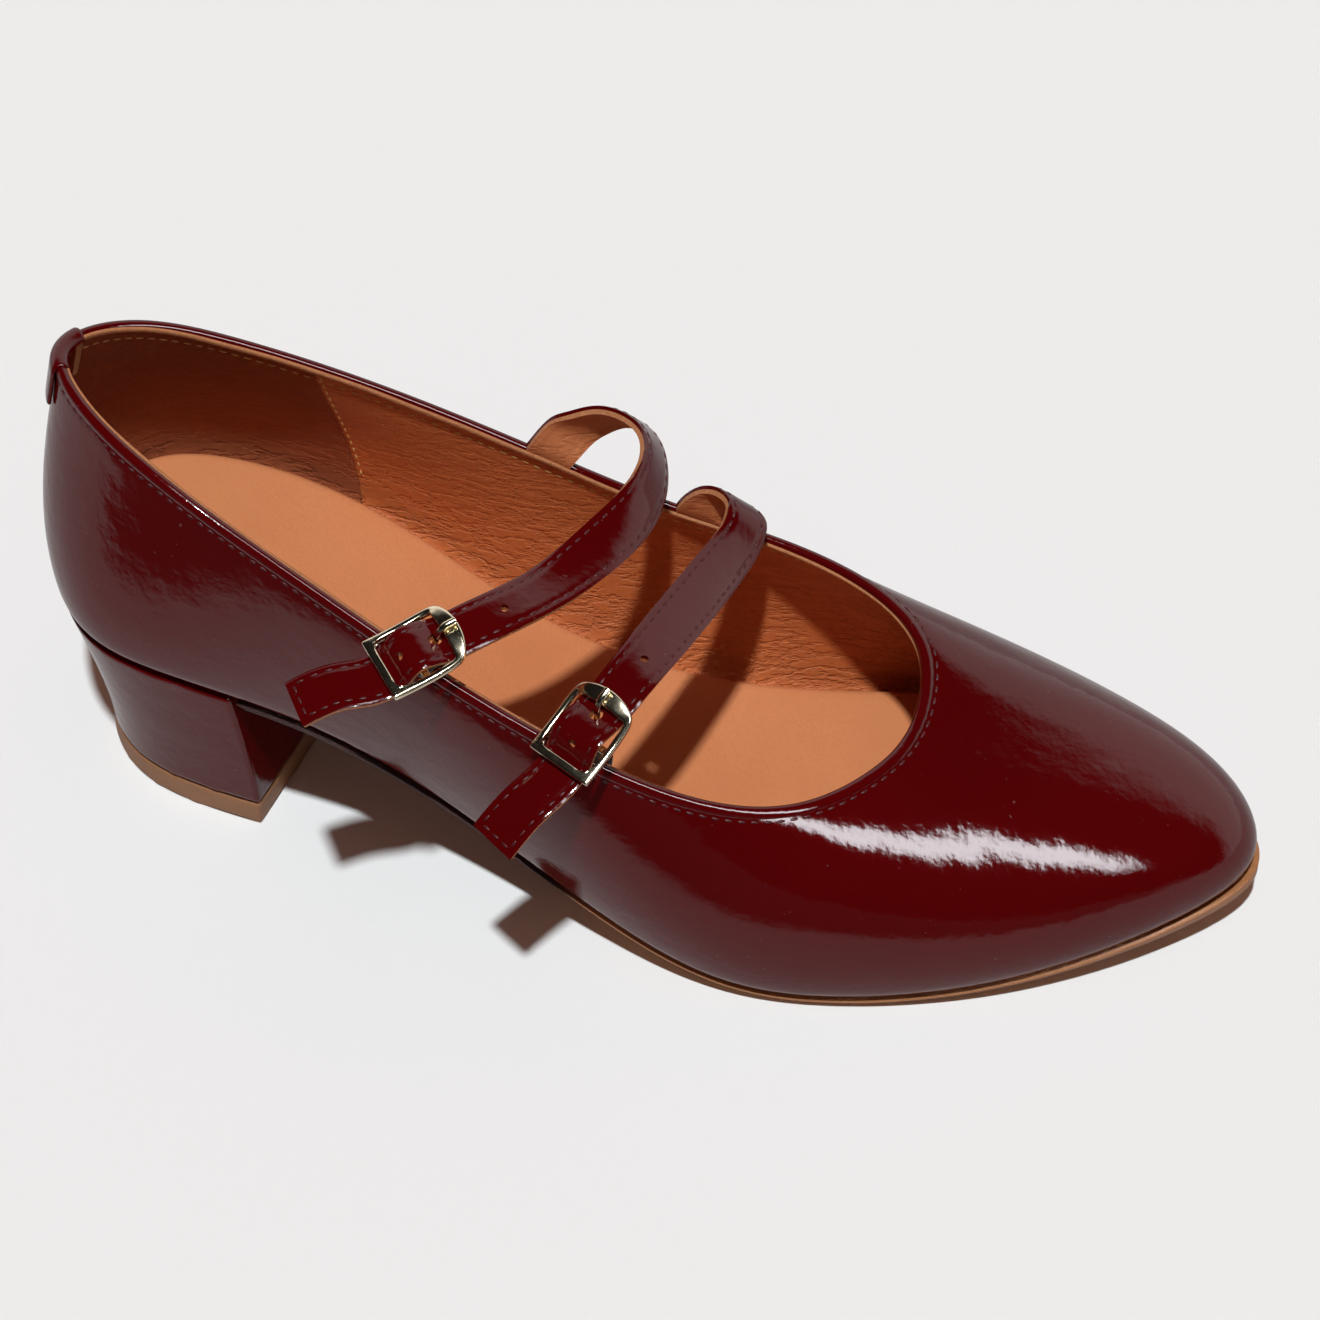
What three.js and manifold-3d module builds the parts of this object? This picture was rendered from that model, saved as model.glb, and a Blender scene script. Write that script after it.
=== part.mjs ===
// A right-foot mary jane pump with a low block heel and two buckled instep straps.
// Frame: +X to the toe, +Y to the inner (medial) side, +Z up, millimetres.
// It stands on its forefoot and heel, both flat at z = 0.
import * as THREE from 'three';
import { mergeVertices } from 'three/addons/utils/BufferGeometryUtils.js';
import Module from 'manifold-3d';

// ---- driving dimensions ---------------------------------------------------------------
const LAST_LENGTH = 241;        // the scale of lengths; the feather edge itself is 237 mm long
const BALL_WIDTH = 80;          // feather edge across the ball
const BACK_HEIGHT = 100;        // floor to the topline at the back of the heel
const HEEL_RISE = 41.2;         // seat above the ball, measured at the feather edge
const TOE_SPRING = 9.4;          // lift of the toe above the ball
const WALL = 1.8;               // patent leather, interlining and lining together
const MARGIN = 12;              // lasting margin turned in under the foot
const SOLE_THICKNESS = 2.5;
const GAP = 0.3;                // clearance between pieces that touch
const INSOLE_THICKNESS = 4.2;
const TOP_PIECE_THICKNESS = 6;
const UPPER_SECTIONS = 96;
const WALL_STEPS = 9;

// Where the bounding box's middle lies in the last's own frame, so that it comes to x = y = 0.
const BOX_MIDDLE = { x: 117.83, y: -8.06 };

// ---- the bottom of the last ------------------------------------------------------------
// along: share of the length; heel and toe: shares of the heel rise and of the toe spring.
const BOTTOM_PROFILE = [
  { along: 0.00, heel: 1.000, toe: 0.00 },
  { along: 0.10, heel: 0.962, toe: 0.00 },
  { along: 0.19, heel: 0.878, toe: 0.00 },
  { along: 0.29, heel: 0.688, toe: 0.00 },
  { along: 0.39, heel: 0.425, toe: 0.00 },
  { along: 0.50, heel: 0.172, toe: 0.00 },
  { along: 0.60, heel: 0.024, toe: 0.00 },
  { along: 0.68, heel: 0.000, toe: 0.00 },
  { along: 0.77, heel: 0.000, toe: 0.12 },
  { along: 0.85, heel: 0.000, toe: 0.42 },
  { along: 0.93, heel: 0.000, toe: 0.74 },
  { along: 1.01, heel: 0.000, toe: 1.03 },
];

// ---- the sections of the upper, once round the shoe -------------------------------------
// footX, topX: share of the length. footY, topY: share of the ball width. topZ: share of the
// back height. lowOut, lowUp: how far the wall swells out and up from the feather edge.
// highOut, highDown: how far it swells out and down from the topline, all in millimetres.
const UPPER_TABLE = [
  { name: 'back',          footX: 0.000, footY: 0.050, topX: 0.015, topY: 0.041, topZ: 0.996,
    lowOut: 4.5, lowUp: 18, highOut: 3.5, highDown: 20 },
  { name: 'back outer',    footX: 0.037, footY: -0.216, topX: 0.058, topY: -0.141, topZ: 0.984,
    lowOut: 4.2, lowUp: 17, highOut: 3, highDown: 18 },
  { name: 'seat outer',    footX: 0.110, footY: -0.302, topX: 0.137, topY: -0.266, topZ: 0.936,
    lowOut: 4, lowUp: 16, highOut: 2.5, highDown: 16 },
  { name: 'counter outer', footX: 0.228, footY: -0.311, topX: 0.247, topY: -0.362, topZ: 0.836,
    lowOut: 4, lowUp: 15, highOut: 2, highDown: 15 },
  { name: 'waist outer',   footX: 0.357, footY: -0.350, topX: 0.363, topY: -0.428, topZ: 0.706,
    lowOut: 4, lowUp: 14, highOut: 2.5, highDown: 14 },
  { name: 'joint outer',   footX: 0.485, footY: -0.452, topX: 0.479, topY: -0.453, topZ: 0.576,
    lowOut: 4, lowUp: 13, highOut: 5, highDown: 14 },
  { name: 'ball outer',    footX: 0.610, footY: -0.516, topX: 0.571, topY: -0.417, topZ: 0.482,
    lowOut: 4, lowUp: 12, highOut: 9, highDown: 14 },
  { name: 'vamp outer',    footX: 0.739, footY: -0.441, topX: 0.641, topY: -0.319, topZ: 0.443,
    lowOut: 4.5, lowUp: 13, highOut: 16, highDown: 9 },
  { name: 'toe outer',     footX: 0.863, footY: -0.277, topX: 0.688, topY: -0.156, topZ: 0.433,
    lowOut: 4.5, lowUp: 13, highOut: 27, highDown: 8 },
  { name: 'tip outer',     footX: 0.944, footY: -0.098, topX: 0.702, topY: -0.062, topZ: 0.434,
    lowOut: 4.5, lowUp: 16, highOut: 34, highDown: 9 },
  { name: 'toe tip',       footX: 0.984, footY: 0.078, topX: 0.707, topY: 0.028, topZ: 0.442,
    lowOut: 4.5, lowUp: 16.5, highOut: 38, highDown: 11 },
  { name: 'tip inner',     footX: 0.968, footY: 0.214, topX: 0.705, topY: 0.116, topZ: 0.458,
    lowOut: 4.5, lowUp: 16, highOut: 34, highDown: 10.5 },
  { name: 'toe inner',     footX: 0.922, footY: 0.338, topX: 0.694, topY: 0.200, topZ: 0.478,
    lowOut: 4, lowUp: 13.5, highOut: 26, highDown: 12.5 },
  { name: 'vamp inner',    footX: 0.822, footY: 0.472, topX: 0.649, topY: 0.302, topZ: 0.509,
    lowOut: 3.5, lowUp: 12, highOut: 15, highDown: 14 },
  { name: 'ball inner',    footX: 0.697, footY: 0.492, topX: 0.571, topY: 0.370, topZ: 0.528,
    lowOut: 3, lowUp: 12, highOut: 8, highDown: 15 },
  { name: 'joint inner',   footX: 0.539, footY: 0.367, topX: 0.473, topY: 0.378, topZ: 0.572,
    lowOut: 6.5, lowUp: 16, highOut: 5, highDown: 17 },
  { name: 'waist inner',   footX: 0.386, footY: 0.302, topX: 0.359, topY: 0.348, topZ: 0.690,
    lowOut: 6.5, lowUp: 14, highOut: 2.5, highDown: 17 },
  { name: 'counter inner', footX: 0.241, footY: 0.380, topX: 0.239, topY: 0.315, topZ: 0.812,
    lowOut: 4.5, lowUp: 15, highOut: 2.5, highDown: 16 },
  { name: 'seat inner',    footX: 0.116, footY: 0.403, topX: 0.133, topY: 0.269, topZ: 0.906,
    lowOut: 4, lowUp: 16, highOut: 2.5, highDown: 16 },
  { name: 'back inner',    footX: 0.037, footY: 0.316, topX: 0.058, topY: 0.196, topZ: 0.968,
    lowOut: 4.2, lowUp: 17, highOut: 3, highDown: 18 },
];

// ---- small geometry helpers -------------------------------------------------------------
const vec = (x, y, z) => new THREE.Vector3(x, y, z);
const UP = vec(0, 0, 1);

function solveLinear(matrix, rhs) {
  const n = rhs.length;
  const rows = matrix.map((row, i) => [...row, rhs[i]]);
  for (let i = 0; i < n; i++) {
    let pivot = i;
    for (let r = i + 1; r < n; r++) {
      if (Math.abs(rows[r][i]) > Math.abs(rows[pivot][i])) pivot = r;
    }
    [rows[i], rows[pivot]] = [rows[pivot], rows[i]];
    for (let r = 0; r < n; r++) {
      if (r === i) continue;
      const factor = rows[r][i] / rows[i][i];
      for (let c = i; c <= n; c++) rows[r][c] -= factor * rows[i][c];
    }
  }
  return rows.map((row, i) => row[n] / row[i]);
}

// A smooth cubic spline through (knots, values). A closed one also has a last knot, where it
// meets its first value again.
function cubicSpline(knots, values, closed) {
  const n = values.length;
  const count = closed ? n : n - 1;
  const step = (i) => knots[i + 1] - knots[i];
  const at = (i) => values[(i + n) % n];
  const matrix = [];
  const rhs = [];
  for (let i = 0; i < n; i++) {
    const row = new Array(n).fill(0);
    if (!closed && (i === 0 || i === n - 1)) {
      row[i] = 1;
      matrix.push(row);
      rhs.push(0);
      continue;
    }
    const before = step((i - 1 + count) % count);
    const after = step(i);
    row[(i - 1 + n) % n] += before;
    row[i] += 2 * (before + after);
    row[(i + 1) % n] += after;
    matrix.push(row);
    rhs.push(6 * ((at(i + 1) - at(i)) / after - (at(i) - at(i - 1)) / before));
  }
  const bend = solveLinear(matrix, rhs);
  return (t) => {
    let u = t;
    if (closed) {
      const period = knots[n] - knots[0];
      u = knots[0] + ((((t - knots[0]) % period) + period) % period);
    }
    let i = 0;
    while (i < count - 1 && u > knots[i + 1]) i++;
    const h = step(i);
    const a = (knots[i + 1] - u) / h;
    const b = 1 - a;
    const curve = (a ** 3 - a) * bend[i] + (b ** 3 - b) * bend[(i + 1) % n];
    return a * at(i) + b * at(i + 1) + (curve * h * h) / 6;
  };
}

// Joins equal loops of points into one closed solid: round in a ring, or capped at its ends.
function loft(sections, ring = false) {
  const size = sections[0].length;
  const positions = sections.flat().flatMap((p) => [p.x, p.y, p.z]);
  const faces = [];
  const spans = ring ? sections.length : sections.length - 1;
  for (let s = 0; s < spans; s++) {
    const near = s * size;
    const far = ((s + 1) % sections.length) * size;
    for (let i = 0; i < size; i++) {
      const j = (i + 1) % size;
      faces.push(near + i, near + j, far + j, near + i, far + j, far + i);
    }
  }
  if (!ring) {
    for (const [start, forward] of [[0, false], [(sections.length - 1) * size, true]]) {
      const loop = sections[start / size];
      const centre = loop.reduce((sum, p) => sum.add(p), vec(0, 0, 0)).divideScalar(size);
      const hub = positions.length / 3;
      positions.push(centre.x, centre.y, centre.z);
      for (let i = 0; i < size; i++) {
        const j = (i + 1) % size;
        if (forward) faces.push(hub, start + i, start + j);
        else faces.push(hub, start + j, start + i);
      }
    }
  }
  const geometry = new THREE.BufferGeometry();
  geometry.setAttribute('position', new THREE.Float32BufferAttribute(positions, 3));
  geometry.setIndex(signedVolume(positions, faces) < 0 ? faces.reverse() : faces);
  geometry.computeVertexNormals();
  return geometry;
}

function signedVolume(positions, faces) {
  const corner = (i) => vec(positions[3 * i], positions[3 * i + 1], positions[3 * i + 2]);
  let volume = 0;
  for (let f = 0; f < faces.length; f += 3) {
    volume += corner(faces[f]).dot(corner(faces[f + 1]).cross(corner(faces[f + 2])));
  }
  return volume;
}

// ---- the last: feather edge, bottom and outer wall --------------------------------------
const profileKnots = BOTTOM_PROFILE.map((row) => row.along * LAST_LENGTH);
const profileHeel = cubicSpline(profileKnots, BOTTOM_PROFILE.map((row) => row.heel), false);
const profileToe = cubicSpline(profileKnots, BOTTOM_PROFILE.map((row) => row.toe), false);

// Height of the last's bottom above the floor, at a distance from the back of the heel.
function bottomHeight(x) {
  const rise = profileHeel(x) * HEEL_RISE + profileToe(x) * TOE_SPRING;
  return SOLE_THICKNESS + GAP + rise;
}

const ringRows = UPPER_TABLE.map((row) => {
  const foot = vec(row.footX * LAST_LENGTH, row.footY * BALL_WIDTH, 0);
  foot.z = bottomHeight(foot.x);
  return {
    ...row,
    foot,
    top: vec(row.topX * LAST_LENGTH, row.topY * BALL_WIDTH, row.topZ * BACK_HEIGHT),
  };
});
const ringKnots = [0];
ringRows.forEach((row, i) => {
  const next = ringRows[(i + 1) % ringRows.length];
  const chord = row.foot.distanceTo(next.foot) + row.top.distanceTo(next.top);
  ringKnots.push(ringKnots[i] + chord / 2);
});
const RING_LENGTH = ringKnots[ringRows.length];
const ringSpline = (pick) => cubicSpline(ringKnots, ringRows.map(pick), true);
const footX = ringSpline((row) => row.foot.x);
const footY = ringSpline((row) => row.foot.y);
const topX = ringSpline((row) => row.top.x);
const topY = ringSpline((row) => row.top.y);
const topZ = ringSpline((row) => row.top.z);
const lowOut = ringSpline((row) => row.lowOut);
const lowUp = ringSpline((row) => row.lowUp);
const highOut = ringSpline((row) => row.highOut);
const highDown = ringSpline((row) => row.highDown);

const featherPoint = (u) => vec(footX(u), footY(u), bottomHeight(footX(u)));
const toplinePoint = (u) => vec(topX(u), topY(u), topZ(u));

// Level direction that points out of the shoe at the feather edge.
function outward(u) {
  const ahead = featherPoint(u + 0.5);
  const behind = featherPoint(u - 0.5);
  return vec(ahead.y - behind.y, behind.x - ahead.x, 0).normalize();
}

// The outer face of the upper: u runs round the shoe, t from the feather edge to the topline.
const VAMP_SPREAD = 30;
function wallPoint(u, t) {
  const foot = featherPoint(u);
  const top = toplinePoint(u);
  const out = outward(u);
  const lean = vec(foot.x - top.x, foot.y - top.y, 0).divideScalar(VAMP_SPREAD).add(out);
  const low = foot.clone().addScaledVector(out, lowOut(u)).addScaledVector(UP, lowUp(u));
  const high = top.clone().addScaledVector(lean.normalize(), highOut(u));
  high.addScaledVector(UP, -highDown(u));
  return new THREE.CubicBezierCurve3(foot, low, high, top).getPoint(t);
}

function wallNormal(u, t) {
  const round = wallPoint(u + 0.5, t).sub(wallPoint(u - 0.5, t));
  const lower = Math.max(t - 0.02, 0);
  const upper = Math.min(t + 0.02, 1);
  const rise = wallPoint(u, upper).sub(wallPoint(u, lower));
  const normal = round.cross(rise).normalize();
  return normal.dot(outward(u)) < 0 ? normal.negate() : normal;
}

// A point set in from the feather edge, lift above the last's bottom.
function underPoint(u, inset, lift) {
  const point = featherPoint(u).addScaledVector(outward(u), -inset);
  point.z = bottomHeight(point.x) + lift;
  return point;
}

// ---- upper --------------------------------------------------------------------------------
// Each section runs up the outer wall, over the rim, down the inner wall and round the margin.
function upperSection(u) {
  const steps = Array.from({ length: WALL_STEPS + 1 }, (_, i) => i / WALL_STEPS);
  const outer = steps.map((t) => wallPoint(u, t));
  const inner = steps.slice(1).reverse().map((t) => {
    return wallPoint(u, t).addScaledVector(wallNormal(u, t), -WALL);
  });
  const margin = [
    underPoint(u, WALL, WALL),
    underPoint(u, MARGIN / 2, WALL),
    underPoint(u, MARGIN, WALL),
    underPoint(u, MARGIN, 0),
    underPoint(u, MARGIN / 2, 0),
  ];
  return [...outer, ...inner, ...margin];
}

function makeUpper() {
  const sections = Array.from({ length: UPPER_SECTIONS }, (_, i) => {
    return upperSection((i / UPPER_SECTIONS) * RING_LENGTH);
  });
  return loft(sections, true);
}

// ---- sole, insole and heel ------------------------------------------------------------------
const TOE_U = ringKnots[UPPER_TABLE.findIndex((row) => row.name === 'toe tip')];
const OUTER = { backU: 0 };
const INNER = { backU: RING_LENGTH };

// The ring position, on one side of the shoe, where a length along the shoe reaches x.
function ringAt(lengthAlong, x, side) {
  let back = side.backU;
  let front = TOE_U;
  for (let i = 0; i < 40; i++) {
    const middle = (back + front) / 2;
    if (lengthAlong(middle) < x) back = middle;
    else front = middle;
  }
  return (back + front) / 2;
}

const BREAST = { outerX: 41.5, innerX: 51 };     // the heel's front face, at the seat
const SOLE_STATIONS = 40;
const SOLE_BACK = 1.2;                         // the sole stops this far ahead of the heel
const SOLE_PROUD = 0.3;                        // and stands this far outside the feather edge
const SOLE_FLAT_DEPTH = 0.25;                  // how much of the ball is worn level

function soleUnderside(x) {
  return Math.max(0, bottomHeight(x) - GAP - SOLE_THICKNESS - SOLE_FLAT_DEPTH);
}

// Pairs of points across the sole, from a slanted back line to the toe tip.
function acrossPairs(stations, inset, outerX, innerX) {
  const outerStart = ringAt(footX, outerX, OUTER);
  const innerStart = ringAt(footX, innerX, INNER);
  return Array.from({ length: stations }, (_, i) => {
    const share = Math.sin((i / (stations - 0.7)) * Math.PI / 2);
    const outerU = outerStart + (TOE_U - outerStart) * share;
    const innerU = innerStart + (TOE_U - innerStart) * share;
    return [underPoint(outerU, inset, 0), underPoint(innerU, inset, 0)];
  });
}

function makeOutsole() {
  const shares = [0, 0.25, 0.5, 0.75, 1];
  const start = { outerX: BREAST.outerX + SOLE_BACK, innerX: BREAST.innerX + SOLE_BACK };
  const pairs = acrossPairs(SOLE_STATIONS, -SOLE_PROUD, start.outerX, start.innerX);
  const sections = pairs.map(([outer, inner]) => {
    const lineAt = (share) => outer.clone().lerp(inner, share);
    const top = shares.map((share) => {
      const point = lineAt(share);
      point.z = bottomHeight(point.x) - GAP;
      return point;
    });
    const under = shares.slice().reverse().map((share) => {
      const point = lineAt(0.03 + 0.94 * share);
      point.z = soleUnderside(point.x);
      return point;
    });
    return [...top, ...under];
  });
  return loft(sections);
}

const INSOLE_STATIONS = 56;
const INSOLE_EASE = 1.2;                       // the insole stays this far off the lining
function makeInsole() {
  const inset = WALL + GAP + INSOLE_EASE;
  const half = Array.from({ length: INSOLE_STATIONS }, (_, i) => {
    return (i + 0.35) / (INSOLE_STATIONS - 0.3);
  });
  const sections = half.map((share) => {
    const eased = (1 - Math.cos(share * Math.PI)) / 2;
    const outerU = eased * TOE_U;
    const innerU = RING_LENGTH - eased * (RING_LENGTH - TOE_U);
    const edge = (u, level) => underPoint(u, inset, WALL + GAP + level);
    const line = (level, pull) => [pull, 0.1, 0.25, 0.5, 0.75, 0.9, 1 - pull].map((s) => {
      const point = edge(outerU, level).lerp(edge(innerU, level), s);
      point.z = bottomHeight(point.x) + WALL + GAP + level;
      return point;
    });
    return [...line(0, 0), ...line(INSOLE_THICKNESS, 0.01).reverse()];
  });
  return loft(sections);
}

// The D of the heel: round the back between the two corners of the breast, then across it.
const HEEL_ROUND_STEPS = 22;
const HEEL_BREAST_STEPS = 6;
function heelTopLoop() {
  const outerU = ringAt(footX, BREAST.outerX, OUTER);
  const innerU = ringAt(footX, BREAST.innerX, INNER);
  const span = RING_LENGTH - innerU + outerU;
  const around = Array.from({ length: HEEL_ROUND_STEPS + 1 }, (_, i) => {
    return underPoint(innerU + (span * i) / HEEL_ROUND_STEPS, 0.3, -GAP);
  });
  const breast = Array.from({ length: HEEL_BREAST_STEPS - 1 }, (_, i) => {
    const share = (i + 1) / HEEL_BREAST_STEPS;
    const point = around[HEEL_ROUND_STEPS].clone().lerp(around[0], share);
    point.z = bottomHeight(point.x) - GAP;
    return point;
  });
  return [...around, ...breast];
}

// The foot of the heel: the same D between its own corners, and narrower towards its back.
const HEEL_FOOT = {
  backX: 8.2, outerX: 45.2, innerX: 54.7, outerY: -22.7, innerY: 24.6, backWidth: 0.86,
};
function heelFootLoop() {
  const top = heelTopLoop();
  const innerCorner = top[0];
  const outerCorner = top[HEEL_ROUND_STEPS];
  const back = Math.min(...top.map((p) => p.x));
  const middleY = (HEEL_FOOT.outerY + HEEL_FOOT.innerY) / 2;
  const mix = THREE.MathUtils.lerp;
  return top.map((p) => {
    const across = (p.y - outerCorner.y) / (innerCorner.y - outerCorner.y);
    const forward = (p.x - back) / (mix(outerCorner.x, innerCorner.x, across) - back);
    const x = mix(HEEL_FOOT.backX, mix(HEEL_FOOT.outerX, HEEL_FOOT.innerX, across), forward);
    const y = mix(HEEL_FOOT.outerY, HEEL_FOOT.innerY, across) - middleY;
    return vec(x, middleY + y * mix(HEEL_FOOT.backWidth, 1, forward), 0);
  });
}

const HEEL_LEVELS = 7;
function makeHeelBlock() {
  const top = heelTopLoop();
  const foot = heelFootLoop();
  const sections = Array.from({ length: HEEL_LEVELS }, (_, k) => {
    const drop = k / (HEEL_LEVELS - 1);
    const narrow = 1 - (1 - drop) ** 1.35;
    return top.map((p, i) => {
      const x = p.x + (foot[i].x - p.x) * narrow;
      const y = p.y + (foot[i].y - p.y) * narrow;
      return vec(x, y, p.z + (TOP_PIECE_THICKNESS + GAP - p.z) * drop);
    });
  });
  return loft(sections);
}

function makeTopPiece() {
  const foot = heelFootLoop();
  const levels = [0, TOP_PIECE_THICKNESS];
  return loft(levels.map((z) => foot.map((p) => vec(p.x, p.y, z))));
}

// ---- straps, buckles and elastics -----------------------------------------------------------
// Each strap grows out of the inner rim, stands in a loop, crosses the instep and ends in a free
// tail beyond its buckle. x, y, z: the middle of the band. ax, ay, az: the way from its rear
// edge to its front edge.
const STRAP_WIDTH = 10;
const STRAP_THICKNESS = 1.8;
const STRAP_STEPS = 64;
const STRAPS = {
  rear: {
    rootX: 91.5,
    run: [
      { x: 94.9, y: 29.9, z: 71.4, ax: 0.85, ay: 0.20, az: -0.48 },
      { x: 98.8, y: 31.0, z: 74.6, ax: 0.70, ay: 0.35, az: -0.62 },
      { x: 103.4, y: 31.2, z: 77.2, ax: 0.55, ay: 0.42, az: -0.72 },
      { x: 108.6, y: 28.8, z: 78.6, ax: 0.42, ay: 0.40, az: -0.80 },
      { x: 112.6, y: 24.0, z: 78.9, ax: 0.34, ay: 0.30, az: -0.86 },
      { x: 114.3, y: 17.0, z: 78.3, ax: 0.42, ay: 0.12, az: -0.84 },
      { x: 113.0, y: 9.5, z: 77.3, ax: 0.58, ay: -0.12, az: -0.70 },
      { x: 109.1, y: 0.0, z: 76.7, ax: 0.74, ay: -0.38, az: -0.42 },
      { x: 101.9, y: -12.5, z: 76.2, ax: 0.78, ay: -0.58, az: -0.08 },
    ],
    buckle: { x: 83.2, y: -34.7, z: 78.4 },
    toTail: { x: -0.735, y: -0.634, z: -0.235 },
    across: { x: 0.670, y: -0.734, z: -0.113 },
    tail: [
      { x: 70.0, y: -43.2, z: 74.2, ax: 0.74, ay: -0.66, az: -0.05 },
      { x: 63.1, y: -47.2, z: 71.7, ax: 0.78, ay: -0.62, az: 0.00 },
    ],
  },
  front: {
    rootX: 121.0,
    run: [
      { x: 124.6, y: 29.5, z: 60.3, ax: 0.86, ay: 0.10, az: -0.48 },
      { x: 128.4, y: 28.0, z: 62.8, ax: 0.78, ay: 0.12, az: -0.60 },
      { x: 130.6, y: 25.4, z: 63.2, ax: 0.70, ay: 0.08, az: -0.68 },
      { x: 130.8, y: 21.6, z: 61.9, ax: 0.67, ay: -0.04, az: -0.73 },
      { x: 129.0, y: 15.0, z: 60.9, ax: 0.72, ay: -0.14, az: -0.66 },
      { x: 126.5, y: 6.0, z: 61.6, ax: 0.80, ay: -0.26, az: -0.50 },
      { x: 123.6, y: -5.0, z: 63.0, ax: 0.85, ay: -0.36, az: -0.32 },
      { x: 121.0, y: -15.0, z: 64.5, ax: 0.88, ay: -0.40, az: -0.16 },
    ],
    buckle: { x: 114.6, y: -34.8, z: 64.8 },
    toTail: { x: -0.4125, y: -0.798, z: -0.437 },
    across: { x: 0.897, y: -0.441, z: -0.041 },
    tail: [
      { x: 106.4, y: -48.2, z: 56.8, ax: 0.91, ay: -0.41, az: 0.00 },
      { x: 101.9, y: -54.0, z: 51.8, ax: 0.93, ay: -0.36, az: 0.04 },
    ],
  },
};

// The buckle's own lengths: along runs towards the tail, over is the height above its plane.
const BUCKLE = {
  halfWidth: 6.9, inner: 5.5, barAt: 1, barRadius: 0.7, holeAt: -3.6, holeRadius: 1.35,
};
// How the strap weaves under the wide end, over the bar and under the narrow end.
const WEAVE = [
  { along: -15, over: -0.8 },
  { along: -9.4, over: -1.1 },
  { along: -5.8, over: -0.9 },
  { along: -1.4, over: 1.3 },
  { along: 1.3, over: 2.05 },
  { along: 3.9, over: 0.6 },
  { along: 6.1, over: -1.15 },
  { along: 8.6, over: -1.5 },
];
// Half of the frame, from the middle of the narrow end round to the middle of the wide end.
const FRAME_HALF = [
  { outAlong: 8.2, outAcross: 0, inAlong: 6.4, inAcross: 0, low: 0.2, high: 1.8 },
  { outAlong: 8.2, outAcross: 6.9, inAlong: 6.4, inAcross: 5.5, low: 0.0, high: 1.7 },
  { outAlong: 1, outAcross: 6.9, inAlong: 1, inAcross: 5.5, low: -0.8, high: 0.9 },
  { outAlong: -5.6, outAcross: 6.9, inAlong: -4.9, inAcross: 5.5, low: -0.3, high: 1.3 },
  { outAlong: -7.2, outAcross: 6.0, inAlong: -5.2, inAcross: 5.0, low: 0.2, high: 1.9 },
  { outAlong: -8.5, outAcross: 3.2, inAlong: -5.4, inAcross: 2.8, low: 0.6, high: 2.5 },
  { outAlong: -8.9, outAcross: 0, inAlong: -5.5, inAcross: 0, low: 0.7, high: 2.7 },
];
// The prong hooks under the bar, comes up through the strap and lies on the wide end.
const PRONG = { width: 1.3, thickness: 1.1 };
const PRONG_PATH = [
  { along: 1.8, over: -1.34 },
  { along: 1.0, over: -1.58 },
  { along: 0.1, over: -1.5 },
  { along: -1.4, over: -1.4 },
  { along: -2.7, over: -1.0 },
  { along: -3.5, over: 0.1 },
  { along: -4.0, over: 1.4 },
  { along: -4.8, over: 2.7 },
  { along: -5.9, over: 3.75 },
  { along: -7.2, over: 3.9 },
  { along: -8.5, over: 3.85 },
];
const ELASTIC = { width: 8, thickness: 1.2, along: 3.2, under: 2.9, forward: 2, steps: 14 };

const wasm = await Module();
wasm.setup();

function toSolid(geometry) {
  const bare = geometry.clone();
  bare.deleteAttribute('normal');
  bare.deleteAttribute('uv');
  const merged = mergeVertices(bare, 1e-5);
  return new wasm.Manifold(new wasm.Mesh({
    numProp: 3,
    vertProperties: new Float32Array(merged.attributes.position.array),
    triVerts: new Uint32Array(merged.index.array),
  }));
}

function toGeometry(solid) {
  const mesh = solid.getMesh();
  const geometry = new THREE.BufferGeometry();
  geometry.setAttribute('position', new THREE.BufferAttribute(mesh.vertProperties, 3));
  geometry.setIndex(new THREE.BufferAttribute(mesh.triVerts, 1));
  geometry.computeVertexNormals();
  return geometry;
}

// The buckle's directions: along to the tail, across to the front, over out of its plane.
function buckleFrame(strap) {
  const along = vec(strap.toTail.x, strap.toTail.y, strap.toTail.z).normalize();
  const across = vec(strap.across.x, strap.across.y, strap.across.z);
  across.addScaledVector(along, -across.dot(along)).normalize();
  const over = along.clone().cross(across);
  const origin = vec(strap.buckle.x, strap.buckle.y, strap.buckle.z);
  const place = (a, b, c) => {
    return origin.clone().addScaledVector(along, a).addScaledVector(across, b)
      .addScaledVector(over, c);
  };
  return { along, across, over, origin, place };
}

function rimMiddle(u) {
  return toplinePoint(u).addScaledVector(wallNormal(u, 1), -WALL / 2);
}

// Smooth curves through the rows of a strap: its middle line and the way across it.
function strapRows(strap) {
  const rootU = ringAt(topX, strap.rootX, INNER);
  const rimLine = toplinePoint(rootU - 1).sub(toplinePoint(rootU + 1)).normalize();
  const rise = rimLine.clone().cross(wallNormal(rootU, 1)).normalize();
  if (rise.z < 0) rise.negate();
  const rootAt = (height) => rimMiddle(rootU).addScaledVector(rise, GAP + 0.1 + height);
  const rows = [0, 0.8, 1.6].map((height) => ({ point: rootAt(height), across: rimLine }));
  const frame = buckleFrame(strap);
  const plain = (row) => ({ point: vec(row.x, row.y, row.z), across: vec(row.ax, row.ay, row.az) });
  strap.run.forEach((row) => rows.push(plain(row)));
  WEAVE.forEach((row) => {
    rows.push({ point: frame.place(row.along, 0, row.over), across: frame.across });
  });
  strap.tail.forEach((row) => rows.push(plain(row)));
  return rows;
}

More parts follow.
